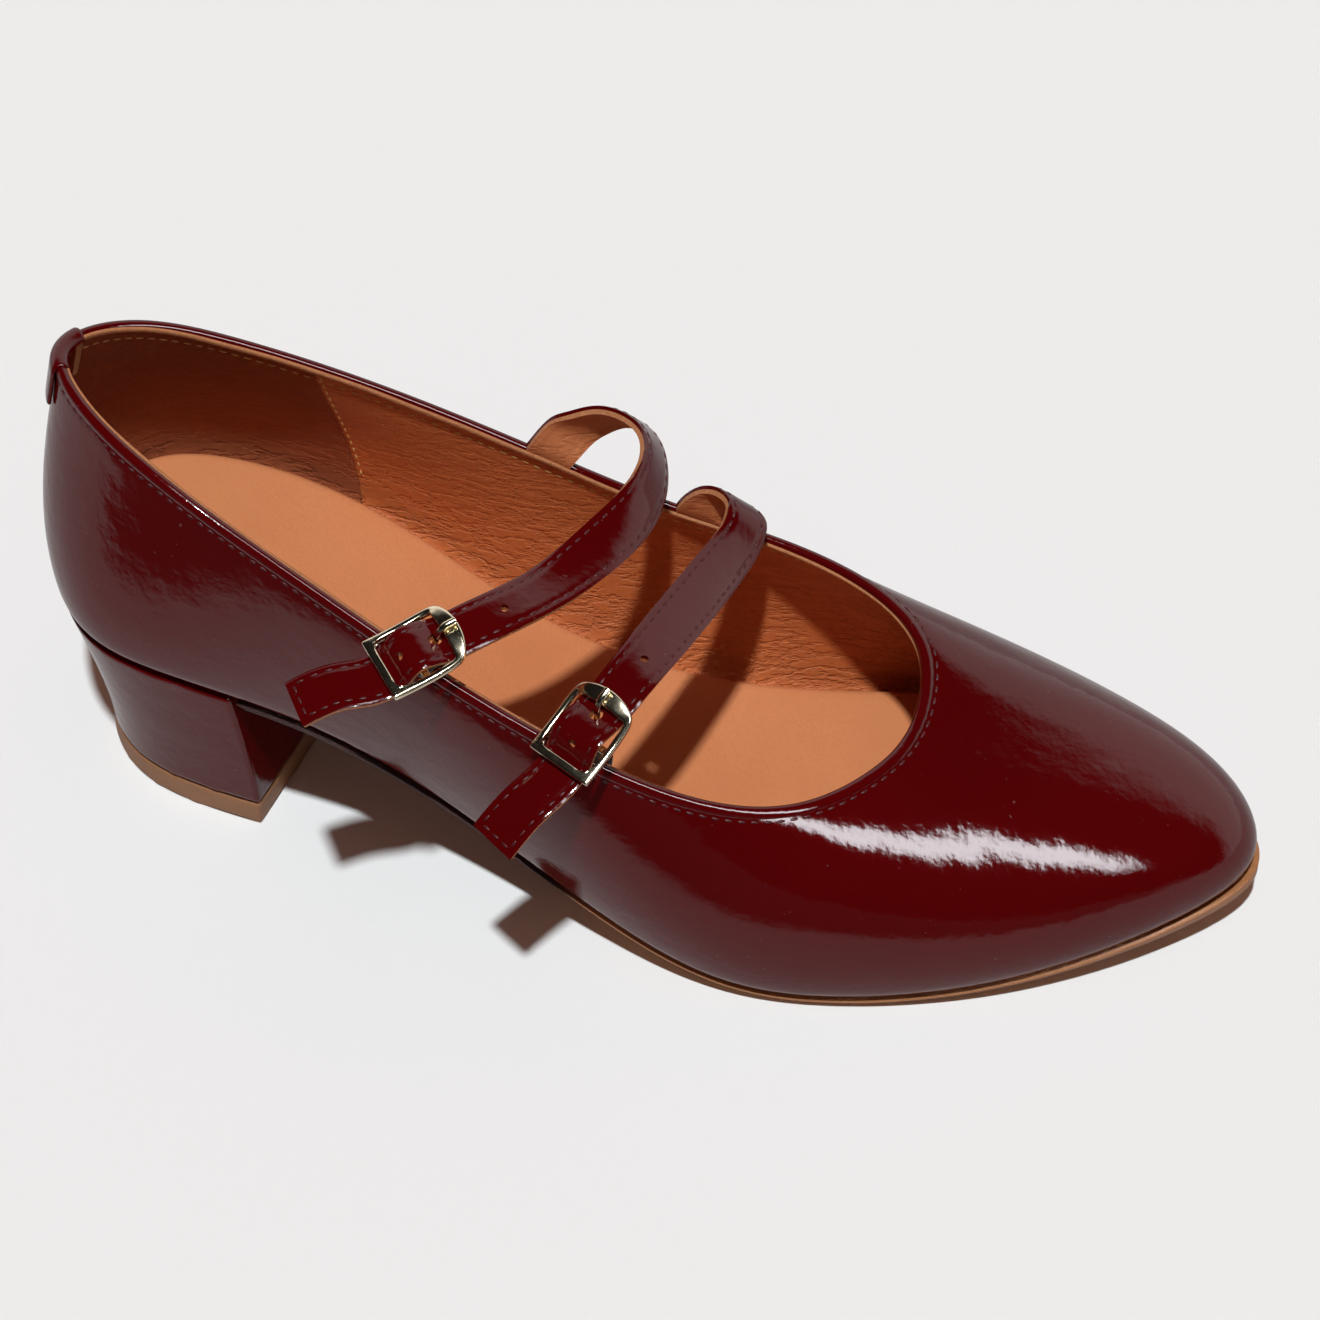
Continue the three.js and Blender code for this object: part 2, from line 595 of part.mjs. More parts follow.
function bandCurves(rows) {
  const knots = [0];
  rows.slice(1).forEach((row, i) => knots.push(knots[i] + row.point.distanceTo(rows[i].point)));
  const spline = (pick) => cubicSpline(knots, rows.map(pick), false);
  const point = ['x', 'y', 'z'].map((axis) => spline((row) => row.point[axis]));
  const across = ['x', 'y', 'z'].map((axis) => spline((row) => row.across[axis]));
  return {
    length: knots[knots.length - 1],
    pointAt: (s) => vec(...point.map((curve) => curve(s))),
    acrossAt: (s) => vec(...across.map((curve) => curve(s))),
  };
}

// A flat band with eased edges along a pair of curves.
function makeBand(rows, width, thickness, steps) {
  const curves = bandCurves(rows);
  const ease = thickness * 0.3;
  const w = width / 2;
  const h = thickness / 2;
  const outline = [[-w, -h + ease], [-w + ease, -h], [w - ease, -h], [w, -h + ease],
    [w, h - ease], [w - ease, h], [-w + ease, h], [-w, h - ease]];
  const sections = Array.from({ length: steps + 1 }, (_, i) => {
    const s = (curves.length * i) / steps;
    const tangent = curves.pointAt(s + 0.05).sub(curves.pointAt(s - 0.05)).normalize();
    const across = curves.acrossAt(s);
    across.addScaledVector(tangent, -across.dot(tangent)).normalize();
    const over = tangent.clone().cross(across);
    return outline.map(([a, b]) => {
      return curves.pointAt(s).addScaledVector(across, a).addScaledVector(over, b);
    });
  });
  return loft(sections);
}

// A plain rod between two places, as a solid with flat ends.
function makeRod(from, to, radius) {
  const rod = new THREE.CylinderGeometry(radius, radius, from.distanceTo(to), 16);
  const turn = new THREE.Quaternion();
  turn.setFromUnitVectors(vec(0, 1, 0), to.clone().sub(from).normalize());
  rod.applyQuaternion(turn);
  const middle = from.clone().lerp(to, 0.5);
  rod.translate(middle.x, middle.y, middle.z);
  return rod;
}

function makeStrap(strap) {
  const band = makeBand(strapRows(strap), STRAP_WIDTH, STRAP_THICKNESS, STRAP_STEPS);
  const { place } = buckleFrame(strap);
  const hole = makeRod(place(BUCKLE.holeAt, 0, -4), place(BUCKLE.holeAt, 0, 4),
    BUCKLE.holeRadius);
  return toGeometry(toSolid(band).subtract(toSolid(hole)));
}

function makeBuckleFrame(strap) {
  const { place } = buckleFrame(strap);
  const mirrored = FRAME_HALF.slice(1, -1).reverse().map((row) => {
    return { ...row, outAcross: -row.outAcross, inAcross: -row.inAcross };
  });
  const sections = [...FRAME_HALF, ...mirrored].map((row) => [
    place(row.outAlong, row.outAcross, row.low),
    place(row.outAlong, row.outAcross, row.high),
    place(row.inAlong, row.inAcross, row.high),
    place(row.inAlong, row.inAcross, row.low),
  ]);
  const reach = (BUCKLE.halfWidth + BUCKLE.inner) / 2;
  const bar = makeRod(place(BUCKLE.barAt, -reach, 0), place(BUCKLE.barAt, reach, 0),
    BUCKLE.barRadius);
  return toGeometry(toSolid(loft(sections, true)).add(toSolid(bar)));
}

function makeProng(strap) {
  const frame = buckleFrame(strap);
  const rows = PRONG_PATH.map((row) => {
    return { point: frame.place(row.along, 0, row.over), across: frame.across };
  });
  return makeBand(rows, PRONG.width, PRONG.thickness, 28);
}

// The elastic that ties the buckle's bar to the inside of the outer wall.
function makeElastic(strap) {
  const frame = buckleFrame(strap);
  const start = frame.place(ELASTIC.along, 0, -ELASTIC.under);
  const u = ringAt(topX, start.x + ELASTIC.forward, OUTER);
  const rimLine = toplinePoint(u + 1).sub(toplinePoint(u - 1)).normalize();
  const inside = (t, clear) => {
    return wallPoint(u, t).addScaledVector(wallNormal(u, t), -WALL - GAP - clear);
  };
  const rows = [
    { point: start, across: frame.across },
    { point: inside(1, 1.7).addScaledVector(UP, 1.2), across: rimLine },
    { point: inside(0.95, 1.1), across: rimLine },
    { point: inside(0.85, 0.9), across: rimLine },
    { point: inside(0.76, 0.9), across: rimLine },
  ];
  return makeBand(rows, ELASTIC.width, ELASTIC.thickness, ELASTIC.steps);
}

// ---- the assembly -----------------------------------------------------------------------------
const FINISHES = {
  patent: { color: 0x5a0c12, roughness: 0.12, metalness: 0 },
  rubber: { color: 0xb98452, roughness: 0.6, metalness: 0 },
  soleLeather: { color: 0xa8794f, roughness: 0.75, metalness: 0 },
  sockLeather: { color: 0xc27a4a, roughness: 0.5, metalness: 0 },
  brass: { color: 0xd8c79a, roughness: 0.18, metalness: 1 },
  elastic: { color: 0x17130f, roughness: 0.9, metalness: 0 },
};

const shoe = new THREE.Group();
shoe.position.set(-BOX_MIDDLE.x, -BOX_MIDDLE.y, 0);

function addPiece(name, geometry, finish) {
  const mesh = new THREE.Mesh(geometry, new THREE.MeshStandardMaterial(FINISHES[finish]));
  mesh.name = name;
  shoe.add(mesh);
}

addPiece('upper', makeUpper(), 'patent');
addPiece('outsole', makeOutsole(), 'soleLeather');
addPiece('insole', makeInsole(), 'sockLeather');
addPiece('heel_block', makeHeelBlock(), 'patent');
addPiece('heel_top_piece', makeTopPiece(), 'rubber');
Object.entries(STRAPS).forEach(([place, strap]) => {
  addPiece(`strap_${place}`, makeStrap(strap), 'patent');
  addPiece(`buckle_${place}`, makeBuckleFrame(strap), 'brass');
  addPiece(`prong_${place}`, makeProng(strap), 'brass');
  addPiece(`elastic_${place}`, makeElastic(strap), 'elastic');
});

export default shoe;
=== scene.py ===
# %% [markdown]
# # A mary jane pump in oxblood patent leather
# This is one right shoe: a patent upper lined with tan leather, a padded insole, a thin leather sole,
# a low covered heel with a rubber top piece, and two buckled straps. The frame brings the shoe's true
# sizes, so each piece here starts from a copy of its plain solid, or from a primitive laid where the
# frame says, and is then given the surface that the real piece has.

# %% Load the frame
import math

import bpy
import numpy as np
from mathutils import Matrix, Vector
from mathutils.bvhtree import BVHTree


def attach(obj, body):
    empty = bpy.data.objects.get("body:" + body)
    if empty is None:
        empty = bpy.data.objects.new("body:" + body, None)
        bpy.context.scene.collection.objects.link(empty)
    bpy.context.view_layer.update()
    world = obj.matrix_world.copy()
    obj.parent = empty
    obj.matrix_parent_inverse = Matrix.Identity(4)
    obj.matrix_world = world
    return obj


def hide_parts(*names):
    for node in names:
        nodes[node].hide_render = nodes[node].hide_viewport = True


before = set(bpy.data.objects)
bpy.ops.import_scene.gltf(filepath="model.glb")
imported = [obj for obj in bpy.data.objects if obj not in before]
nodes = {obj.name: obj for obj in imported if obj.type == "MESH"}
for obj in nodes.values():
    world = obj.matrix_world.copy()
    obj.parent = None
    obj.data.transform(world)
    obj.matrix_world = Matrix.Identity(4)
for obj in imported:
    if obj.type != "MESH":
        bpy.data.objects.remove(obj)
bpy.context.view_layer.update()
MM = 0.001
UP = Vector((0, 0, 1))

# %% [markdown]
# A shoemaker measures from the back of the last, on its middle line at floor level. Places that aren't
# taken from a node are given that way, in millimetres: x to the toe, y to the inner side, z up.

# %% Measure from the back of the last
LAST_BACK = Vector((-117.83, 8.06, 0)) * MM


def last(x, y, z):
    return LAST_BACK + Vector((x, y, z)) * MM


# %% [markdown]
# ## Camera, light and floor
# The shoe is seen from above its outer side, with the toe to the right. A long lens from about a metre
# keeps the toe and heel in proportion.

# %% Camera
AIM = last(106.7, 17.5, 35.0)
AZIMUTH = math.radians(14.11)
ELEVATION = math.radians(49.96)
DISTANCE = 0.963

to_camera = Vector((
    math.sin(AZIMUTH) * math.cos(ELEVATION),
    -math.cos(AZIMUTH) * math.cos(ELEVATION),
    math.sin(ELEVATION),
))
bpy.ops.object.camera_add(location=AIM + to_camera * DISTANCE)
camera = bpy.context.object
camera.rotation_mode = "QUATERNION"
camera.rotation_quaternion = (-to_camera).to_track_quat("-Z", "Y")
camera.data.sensor_width = 36
camera.data.lens = 135
camera.data.shift_x = 0.035
camera.data.shift_y = -0.033
bpy.context.scene.camera = camera
bpy.context.scene.view_settings.view_transform = "Standard"
print("camera at", [round(v, 3) for v in camera.location])

# %% [markdown]
# Shader maths reads best as plain sums. Value wraps a socket so that `1 - mask` adds a Math node by
# itself, and Finish.node makes every other node: its settings first, then its sockets.

# %% Shader helpers
class Value:
    def __init__(self, finish, socket):
        self.finish = finish
        self.socket = socket

    def _math(self, operation, first, second):
        made = self.finish.node("ShaderNodeMath", {"operation": operation}, {0: first, 1: second})
        return self.finish.value(made)

    def __add__(self, other):
        return self._math("ADD", self, other)

    def __radd__(self, other):
        return self._math("ADD", other, self)

    def __sub__(self, other):
        return self._math("SUBTRACT", self, other)

    def __rsub__(self, other):
        return self._math("SUBTRACT", other, self)

    def __mul__(self, other):
        return self._math("MULTIPLY", self, other)

    def __rmul__(self, other):
        return self._math("MULTIPLY", other, self)


class Finish:
    def __init__(self, owner):
        owner.use_nodes = True
        self.owner = owner
        self.tree = owner.node_tree
        self.tree.nodes.clear()

    def node(self, kind, settings=None, inputs=None):
        made = self.tree.nodes.new(kind)
        for key, setting in (settings or {}).items():
            if key == "stops":
                self.set_stops(made.color_ramp, setting)
            else:
                setattr(made, key, setting)
        for key, content in (inputs or {}).items():
            if isinstance(content, Value):
                self.tree.links.new(content.socket, made.inputs[key])
            else:
                made.inputs[key].default_value = content
        return made

    def set_stops(self, ramp, stops):
        for place, colour in stops[2:]:
            ramp.elements.new(place)
        for element, (place, colour) in zip(ramp.elements, stops):
            element.position = place
            element.color = (*colour, 1) if len(colour) == 3 else colour

    def value(self, made, output=0):
        return Value(self, made.outputs[output])

    def place(self, stretch=(1, 1, 1), turn=(0, 0, 0)):
        here = self.value(self.node("ShaderNodeTexCoord"), "Object")
        return self.value(self.node("ShaderNodeMapping", {}, {
            "Vector": here, "Scale": stretch, "Rotation": turn}))

    def noise(self, size, detail=2.0, roughness=0.5, stretch=(1, 1, 1), turn=(0, 0, 0)):
        """Soft noise whose blobs are about size metres across."""
        return self.value(self.node("ShaderNodeTexNoise", {}, {
            "Vector": self.place(stretch, turn), "Scale": 1 / size, "Detail": detail,
            "Roughness": roughness}))

    def cells(self, size, feature="F1", stretch=(1, 1, 1), turn=(0, 0, 0)):
        """Distance to the nearest of cells about size metres across."""
        return self.value(self.node("ShaderNodeTexVoronoi", {"feature": feature}, {
            "Vector": self.place(stretch, turn), "Scale": 1 / size}))

    def step(self, value, low, high):
        """0 below low, 1 above high and smooth between."""
        return self.value(self.node("ShaderNodeMapRange", {"interpolation_type": "SMOOTHSTEP"}, {
            "Value": value, "From Min": low, "From Max": high}))

    def blend(self, share, first, second):
        """A colour between two others."""
        made = self.node("ShaderNodeMix", {"data_type": "RGBA"}, {0: share, 6: first, 7: second})
        return self.value(made, 2)

    def bump(self, height, depth, strength=1.0, under=None):
        inputs = {"Height": height, "Distance": depth, "Strength": strength}
        if under is not None:
            inputs["Normal"] = under
        return self.value(self.node("ShaderNodeBump", {}, inputs))

    def surface(self, **sockets):
        shader = self.node("ShaderNodeBsdfPrincipled", {}, {
            key.replace("_", " "): content for key, content in sockets.items()})
        out = self.node("ShaderNodeOutputMaterial")
        self.tree.links.new(shader.outputs[0], out.inputs[0])
        return self.owner


def new_finish(name):
    return Finish(bpy.data.materials.new(name))


def rgb(red, green, blue):
    return (red, green, blue, 1.0)


# %% [markdown]
# One hard lamp high over the outer side throws the straps' crisp shadows on the insole and floor, and
# a warm dim room fills them. Patent leather is a mirror, so what it sees is set apart from that fill:
# a low pale wall behind, a bright lamp beyond the toe that makes the highlight on the vamp and a dark
# room elsewhere. The floor carries a painted reflection: seen in mirrors alone it is dimmer than the
# paper, and black past a line near the shoe, which shows as a dark band in the side of the shoe.
# Behind the shoe itself the backdrop is plain and pale, whichever way it is looked at.

# %% Lamps
SUN_TRAVEL = Vector((-0.04, 0.31, -1.0))
bpy.ops.object.light_add(type="SUN")
key_lamp = bpy.context.object
key_lamp.rotation_mode = "QUATERNION"
key_lamp.rotation_quaternion = SUN_TRAVEL.to_track_quat("-Z", "Y")
key_lamp.data.energy = 3.15
key_lamp.data.angle = math.radians(2.6)
key_lamp.data.color = (0.915, 0.98, 1.0)

# %% Surroundings
LAMP_HEIGHT = 0.76
LAMP_BRIGHT = 19.0
LAMP_X, LAMP_Y = 0.883, -0.469  # the way to the lamp, seen in plan
LAMP_NARROW, LAMP_SHORT = 60, 7
WALL_SLOPE = 0.75
PALE_WALL = rgb(1.0, 0.97, 0.96)
DARK_ROOM = rgb(0.010, 0.008, 0.008)
WARM_FILL = rgb(0.175, 0.085, 0.060)
BACKDROP = rgb(0.83, 0.83, 0.83)

world = bpy.data.worlds.new("studio")
bpy.context.scene.world = world
room = Finish(world)
aim = room.node("ShaderNodeTexCoord")
axes = room.node("ShaderNodeSeparateXYZ", {}, {"Vector": room.value(aim, "Generated")})
to_toe = room.value(axes, "X")
to_back = room.value(axes, "Y")
to_top = room.value(axes, "Z")
behind = room.step(to_back - WALL_SLOPE * to_top, -0.14, 0.16)
toward = LAMP_X * to_toe + LAMP_Y * to_back
sideways = LAMP_X * to_back - LAMP_Y * to_toe
height = to_top - LAMP_HEIGHT
spread = sideways * sideways * LAMP_NARROW + height * height * LAMP_SHORT
lamp_seen = (1 - room.step(spread, 0.0, 1.0)) * room.step(toward, 0, 0.1)
seen = room.blend(behind, DARK_ROOM, PALE_WALL)
seen = room.blend(lamp_seen, seen, rgb(LAMP_BRIGHT, LAMP_BRIGHT * 1.03, LAMP_BRIGHT * 1.08))
mirrored = room.value(room.node("ShaderNodeLightPath"), "Is Glossy Ray")
light = room.blend(mirrored, WARM_FILL, seen)
in_sight = room.value(room.node("ShaderNodeLightPath"), "Is Camera Ray")
light = room.blend(in_sight, light, BACKDROP)
sky = room.node("ShaderNodeBackground", {}, {"Color": light, "Strength": 1.0})
room.tree.links.new(sky.outputs[0], room.node("ShaderNodeOutputWorld").inputs[0])

# %% Floor
PAPER_WHITE = rgb(0.815, 0.815, 0.815)
PAINTED_PAPER_REFLECTION = rgb(0.50, 0.49, 0.49)
PAINTED_DARK_REFLECTION = rgb(0.02, 0.02, 0.02)
PAINTED_REFLECTION_EDGE = (0.078, 0.105)
bpy.ops.mesh.primitive_circle_add(vertices=96, radius=9.0, fill_type="NGON")
floor = bpy.context.object
floor.name = "floor"
paper = new_finish("floor_paper")
floor_axes = paper.node("ShaderNodeSeparateXYZ", {}, {"Vector": paper.place()})
# painted reflection: seen in mirrors the floor is dimmer than the paper, and nearly black past a line
# near the shoe that the camera never sees
past_painted_edge = paper.step(0 - paper.value(floor_axes, "Y"), *PAINTED_REFLECTION_EDGE)
mirrored = paper.value(paper.node("ShaderNodeLightPath"), "Is Glossy Ray")
painted_reflection = paper.blend(past_painted_edge, PAINTED_PAPER_REFLECTION, PAINTED_DARK_REFLECTION)
floor.data.materials.append(paper.surface(
    Base_Color=paper.blend(mirrored, PAPER_WHITE, painted_reflection),
    Roughness=0.7, Specular_IOR_Level=0.2))
print("floor laid")

# %% [markdown]
# ## Finishes
# Patent leather is leather under a clear plastic film. The colour lies deep under the film, so the
# base is a very dark red, and nearly all that is seen is reflection. The film follows the grain as a
# faint orange peel, which breaks the edges of every reflection, and it carries dust and fine rubs.

# %% Patent leather
OXBLOOD = rgb(0.086, 0.0009, 0.0014)
OXBLOOD_DEEP = rgb(0.062, 0.0006, 0.0010)


def patent(name, rub=1.0):
    film = new_finish(name)
    tone = film.noise(0.05, 3)
    colour = film.blend(tone, OXBLOOD_DEEP, OXBLOOD)
    dust = film.step(film.noise(0.0011, 1), 0.765, 0.80)
    colour = film.blend(dust * 0.10, colour, rgb(0.30, 0.22, 0.20))
    haze = film.step(film.noise(0.016, 4, 0.6), 0.45, 0.8)
    streaks = film.noise(0.0024, 2, 0.6, stretch=(1.0, 0.25, 1.0), turn=(0, 0, 0.5))
    rubs = haze * film.step(streaks, 0.5, 0.75)
    peel = film.noise(0.0034, 2, 0.5) + 0.35 * film.noise(0.0012, 2, 0.5)
    swell = film.noise(0.011, 3, 0.5)
    normal = film.bump(peel, 0.00013, 0.5, film.bump(swell, 0.00045, 0.5))
    return film.surface(
        Base_Color=colour, Roughness=0.085 + 0.12 * rub * rubs + 0.2 * dust,
        Normal=normal, Specular_IOR_Level=0.40)


patent_leather = patent("patent_leather")
patent_heel = patent("patent_heel_cover", 1.4)
patent_strap = patent("patent_strap", 0.8)
print("patent finishes:", patent_leather.name, patent_heel.name, patent_strap.name)

# %% [markdown]
# The lining is one finish: smooth tan leather in front of a leaning seam, rough and darker behind it,
# where it is turned flesh side out to hold the heel. The insole is the smoothest leather.

# %% Lining leathers
SEAM_X, SEAM_HEIGHT = 52.5, 40
SEAM_FOOT = last(SEAM_X, 0, SEAM_HEIGHT)
SEAM_LEAN = -0.13


def behind_seam(hide):
    axes = hide.node("ShaderNodeSeparateXYZ", {}, {"Vector": hide.place()})
    lean = hide.value(axes, "Z") - SEAM_FOOT.z
    ahead = hide.value(axes, "X") - SEAM_FOOT.x - SEAM_LEAN * lean
    return 1 - hide.step(ahead, -0.0003, 0.0003)


def tan_leather(name, pale_tone, dark_tone, roughness, grain, creases=0.0, counter=False):
    hide = new_finish(name)
    cloud = hide.noise(0.03, 4, 0.55)
    pores = hide.cells(grain, stretch=(1.0, 0.8, 0.9))
    colour = hide.blend(cloud, dark_tone, pale_tone)
    colour = hide.blend(hide.step(pores, 0.35, 0.75) * 0.22, colour, dark_tone)
    height = pores * -0.6 + hide.noise(grain * 0.6, 2, 0.6)
    normal = hide.bump(height, 0.00011, 0.55)
    if creases == 0:
        normal = hide.bump(hide.noise(0.022, 3, 0.5), 0.0016, 0.35, normal)
    else:
        folds = hide.noise(0.0058, 4, 0.62, stretch=(0.6, 1.0, 1.9))
        lines = hide.step(folds, 0.40, 0.50) - hide.step(folds, 0.50, 0.56)
        normal = hide.bump(1 - lines + 0.8 * folds, 0.00035, creases, normal)
    if counter:
        suede = hide.noise(0.012, 5, 0.65) * 0.6 + hide.noise(0.0022, 3, 0.7) * 0.4
        rough = hide.blend(suede, rgb(0.190, 0.040, 0.012), rgb(0.340, 0.085, 0.028))
        behind = behind_seam(hide)
        colour = hide.blend(behind, colour, rough)
        normal = hide.bump(behind, 0.0008, 0.8, normal)
        roughness = roughness + 0.3 * behind
    return hide.surface(
        Base_Color=colour, Roughness=roughness + 0.14 * cloud, Normal=normal,
        Specular_IOR_Level=0.3)


lining_leather = tan_leather(
    "lining_leather", rgb(0.56, 0.155, 0.044), rgb(0.40, 0.098, 0.027), 0.50, 0.0011, 0.7, True)
insole_leather = tan_leather(
    "insole_leather", rgb(0.65, 0.245, 0.103), rgb(0.54, 0.188, 0.073), 0.42, 0.0008)
strap_back_leather = tan_leather(
    "strap_back_leather", rgb(0.50, 0.165, 0.060), rgb(0.36, 0.105, 0.036), 0.62, 0.0009, 0.4)
print("lining finishes ready")


# %% [markdown]
# Cut leather edges show their fibres. The straps' edges are painted, and so is the rim's roll, but a
# line of raw tan shows where the lining is trimmed.

# %% Edges, sole, rubber, thread, metal and elastic
def raw_edge():
    edge = new_finish("raw_edge")
    fibres = edge.noise(0.0007, 3, 0.75)
    colour = edge.blend(fibres, rgb(0.22, 0.068, 0.024), rgb(0.60, 0.27, 0.125))
    normal = edge.bump(fibres, 0.0003, 0.8)
    return edge.surface(Base_Color=colour, Roughness=0.85, Normal=normal, Specular_IOR_Level=0.2)


def painted_edge():
    edge = new_finish("painted_edge")
    wear = edge.step(edge.noise(0.0018, 3, 0.7), 0.60, 0.70)
    colour = edge.blend(wear, rgb(0.095, 0.006, 0.009), rgb(0.30, 0.10, 0.045))
    normal = edge.bump(edge.noise(0.0008, 2, 0.6), 0.00018, 0.6)
    return edge.surface(Base_Color=colour, Roughness=0.35, Normal=normal)


# painted shade: behind this x the sole is coloured nearly black, for the shade under the upper at the
# waist
WAIST_SHADE_END = last(118, 0, 0).x


def sole_leather():
    sole = new_finish("sole_leather")
    cloud = sole.noise(0.02, 4, 0.6)
    fibres = sole.noise(0.0009, 3, 0.7, stretch=(1, 1, 3.5))
    colour = sole.blend(cloud * 0.5 + fibres * 0.5, rgb(0.20, 0.072, 0.024), rgb(0.47, 0.20, 0.075))
    scuffs = sole.step(sole.noise(0.006, 5, 0.75, stretch=(0.25, 1, 1)), 0.58, 0.72)
    colour = sole.blend(scuffs * 0.35, colour, rgb(0.30, 0.17, 0.10))
    axes = sole.node("ShaderNodeSeparateXYZ", {}, {"Vector": sole.place()})
    # painted shade: the sole at the waist, in shade under the upper, is coloured nearly black
    waist_shade = 1 - sole.step(sole.value(axes, "X"), WAIST_SHADE_END - 0.012, WAIST_SHADE_END)
    colour = sole.blend(waist_shade, colour, rgb(0.035, 0.008, 0.006))
    normal = sole.bump(fibres, 0.0002, 0.6)
    return sole.surface(Base_Color=colour, Roughness=0.48 + 0.3 * scuffs, Normal=normal)


def tan_rubber():
    rubber = new_finish("top_piece_rubber")
    cloud = rubber.noise(0.01, 3)
    grit = rubber.noise(0.0005, 2, 0.6)
    colour = rubber.blend(cloud, rgb(0.225, 0.098, 0.040), rgb(0.285, 0.130, 0.056))
    normal = rubber.bump(grit, 0.00012, 0.5)
    return rubber.surface(Base_Color=colour, Roughness=0.50 + 0.12 * grit, Normal=normal)


def thread(name, light, dark):
    cord = new_finish(name)
    twist = cord.noise(0.0005, 2, 0.6)
    colour = cord.blend(twist, dark, light)
    return cord.surface(Base_Color=colour, Roughness=0.42,
                        Normal=cord.bump(twist, 0.0001, 0.6), Specular_IOR_Level=0.35)


def pale_gold():
    metal = new_finish("buckle_metal")
    rub = metal.noise(0.0016, 4, 0.7)
    lines = metal.noise(0.0005, 2, 0.5, stretch=(1, 6, 1), turn=(0, 0, 0.7))
    colour = metal.blend(rub, rgb(0.74, 0.63, 0.43), rgb(0.90, 0.81, 0.62))
    height = metal.noise(0.0035, 2) + 0.1 * lines
    return metal.surface(Base_Color=colour, Metallic=1.0, Roughness=0.10 + 0.12 * rub * lines,
                         Normal=metal.bump(height, 0.00012, 0.5))


def elastic_cloth():
    webbing = new_finish("elastic_webbing")
    ribs = webbing.value(webbing.node("ShaderNodeTexWave", {"bands_direction": "X"}, {
        "Vector": webbing.place(turn=(0, 0, 0.35)), "Scale": 330.0, "Distortion": 0.4,
        "Detail": 1.0}), "Fac")
    lint = webbing.step(webbing.noise(0.0012, 4, 0.7), 0.6, 0.75)
    colour = webbing.blend(ribs, rgb(0.010, 0.008, 0.007), rgb(0.045, 0.038, 0.032))
    colour = webbing.blend(lint * 0.3, colour, rgb(0.25, 0.21, 0.17))
    return webbing.surface(Base_Color=colour, Roughness=0.85, Sheen_Weight=0.3,
                           Normal=webbing.bump(ribs, 0.0003, 0.8))


raw_leather_edge = raw_edge()
strap_edge_paint = painted_edge()
tan_sole = sole_leather()
tan_top_piece = tan_rubber()
oxblood_thread = thread("oxblood_thread", rgb(0.085, 0.006, 0.008), rgb(0.030, 0.002, 0.003))
gold_thread = thread("gold_thread", rgb(0.78, 0.50, 0.19), rgb(0.46, 0.25, 0.08))
buckle_gold = pale_gold()
black_elastic = elastic_cloth()
print("finishes made:", len(bpy.data.materials))


# %% [markdown]
# ## Working helpers
# Operators act on whatever is selected, so each step starts by selecting one object alone. A node's
# mesh is loose triangles: a copy is welded and paired back into quads before it is shaped further.

# %% Modelling helpers
WELD = 0.001 * MM


def only(obj):
    bpy.ops.object.select_all(action="DESELECT")
    obj.select_set(True)
    bpy.context.view_layer.objects.active = obj
    return obj


def edit(obj):
    only(obj)
    bpy.ops.object.mode_set(mode="EDIT")
    bpy.ops.mesh.select_mode(type="VERT")
    bpy.ops.mesh.select_all(action="SELECT")


def leave():
    bpy.ops.object.mode_set(mode="OBJECT")


def copy_of(node, name):
    obj = bpy.data.objects.new(name, nodes[node].data.copy())
    bpy.context.scene.collection.objects.link(obj)
    obj.data.materials.clear()
    edit(obj)
    bpy.ops.mesh.remove_doubles(threshold=WELD)
    bpy.ops.mesh.customdata_custom_splitnormals_clear()
    bpy.ops.mesh.tris_convert_to_quads(
        face_threshold=math.pi, shape_threshold=math.pi, topology_influence=2.0)
    leave()
    return obj


def select_where(obj, parts, test):
    """Selects the faces, edges or vertices of obj that pass a test, and stays in edit mode."""
    kind = {"polygons": "FACE", "edges": "EDGE", "vertices": "VERT"}[parts]
    edit(obj)
    bpy.ops.mesh.select_mode(type=kind)
    bpy.ops.mesh.select_all(action="DESELECT")
    leave()
    for part in getattr(obj.data, parts):
        part.select = test(part)
    bpy.ops.object.mode_set(mode="EDIT")


def apply_modifier(obj, kind, **settings):
    only(obj)
    modifier = obj.modifiers.new(kind.title(), kind)
    for key, setting in settings.items():
        setattr(modifier, key, setting)
    bpy.ops.object.modifier_apply(modifier=modifier.name)


def crease_sharp(obj, angle, strength):
    edit(obj)
    bpy.ops.mesh.select_mode(type="EDGE")
    bpy.ops.mesh.select_all(action="DESELECT")
    bpy.ops.mesh.edges_select_sharp(sharpness=math.radians(angle))
    bpy.ops.transform.edge_crease(value=strength)
    leave()


def smooth_over(obj, levels, angle=None):
    if levels:
        apply_modifier(obj, "SUBSURF", levels=levels, render_levels=levels)
    only(obj)
    if angle is None:
        bpy.ops.object.shade_smooth()
    else:
        bpy.ops.object.shade_smooth_by_angle(angle=math.radians(angle))


def join_as(name, objects):
    bpy.ops.object.select_all(action="DESELECT")
    for obj in objects:
        obj.select_set(True)
    bpy.context.view_layer.objects.active = objects[0]
    bpy.ops.object.join()
    objects[0].name = name
    return objects[0]


def settle(obj, slot, *replaced):
    """Gives a finished piece its body and hides the nodes that it stands for. The slot is not used."""
    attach(obj, "root")
    if replaced:
        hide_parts(*replaced)
    print(f"{obj.name}: {len(obj.data.polygons)} faces")


# %% [markdown]
# A track is a smooth line through a few places, measured by its length, on which stitches and straps
# are laid. It carries any further columns, such as the way across a strap, along with the place.

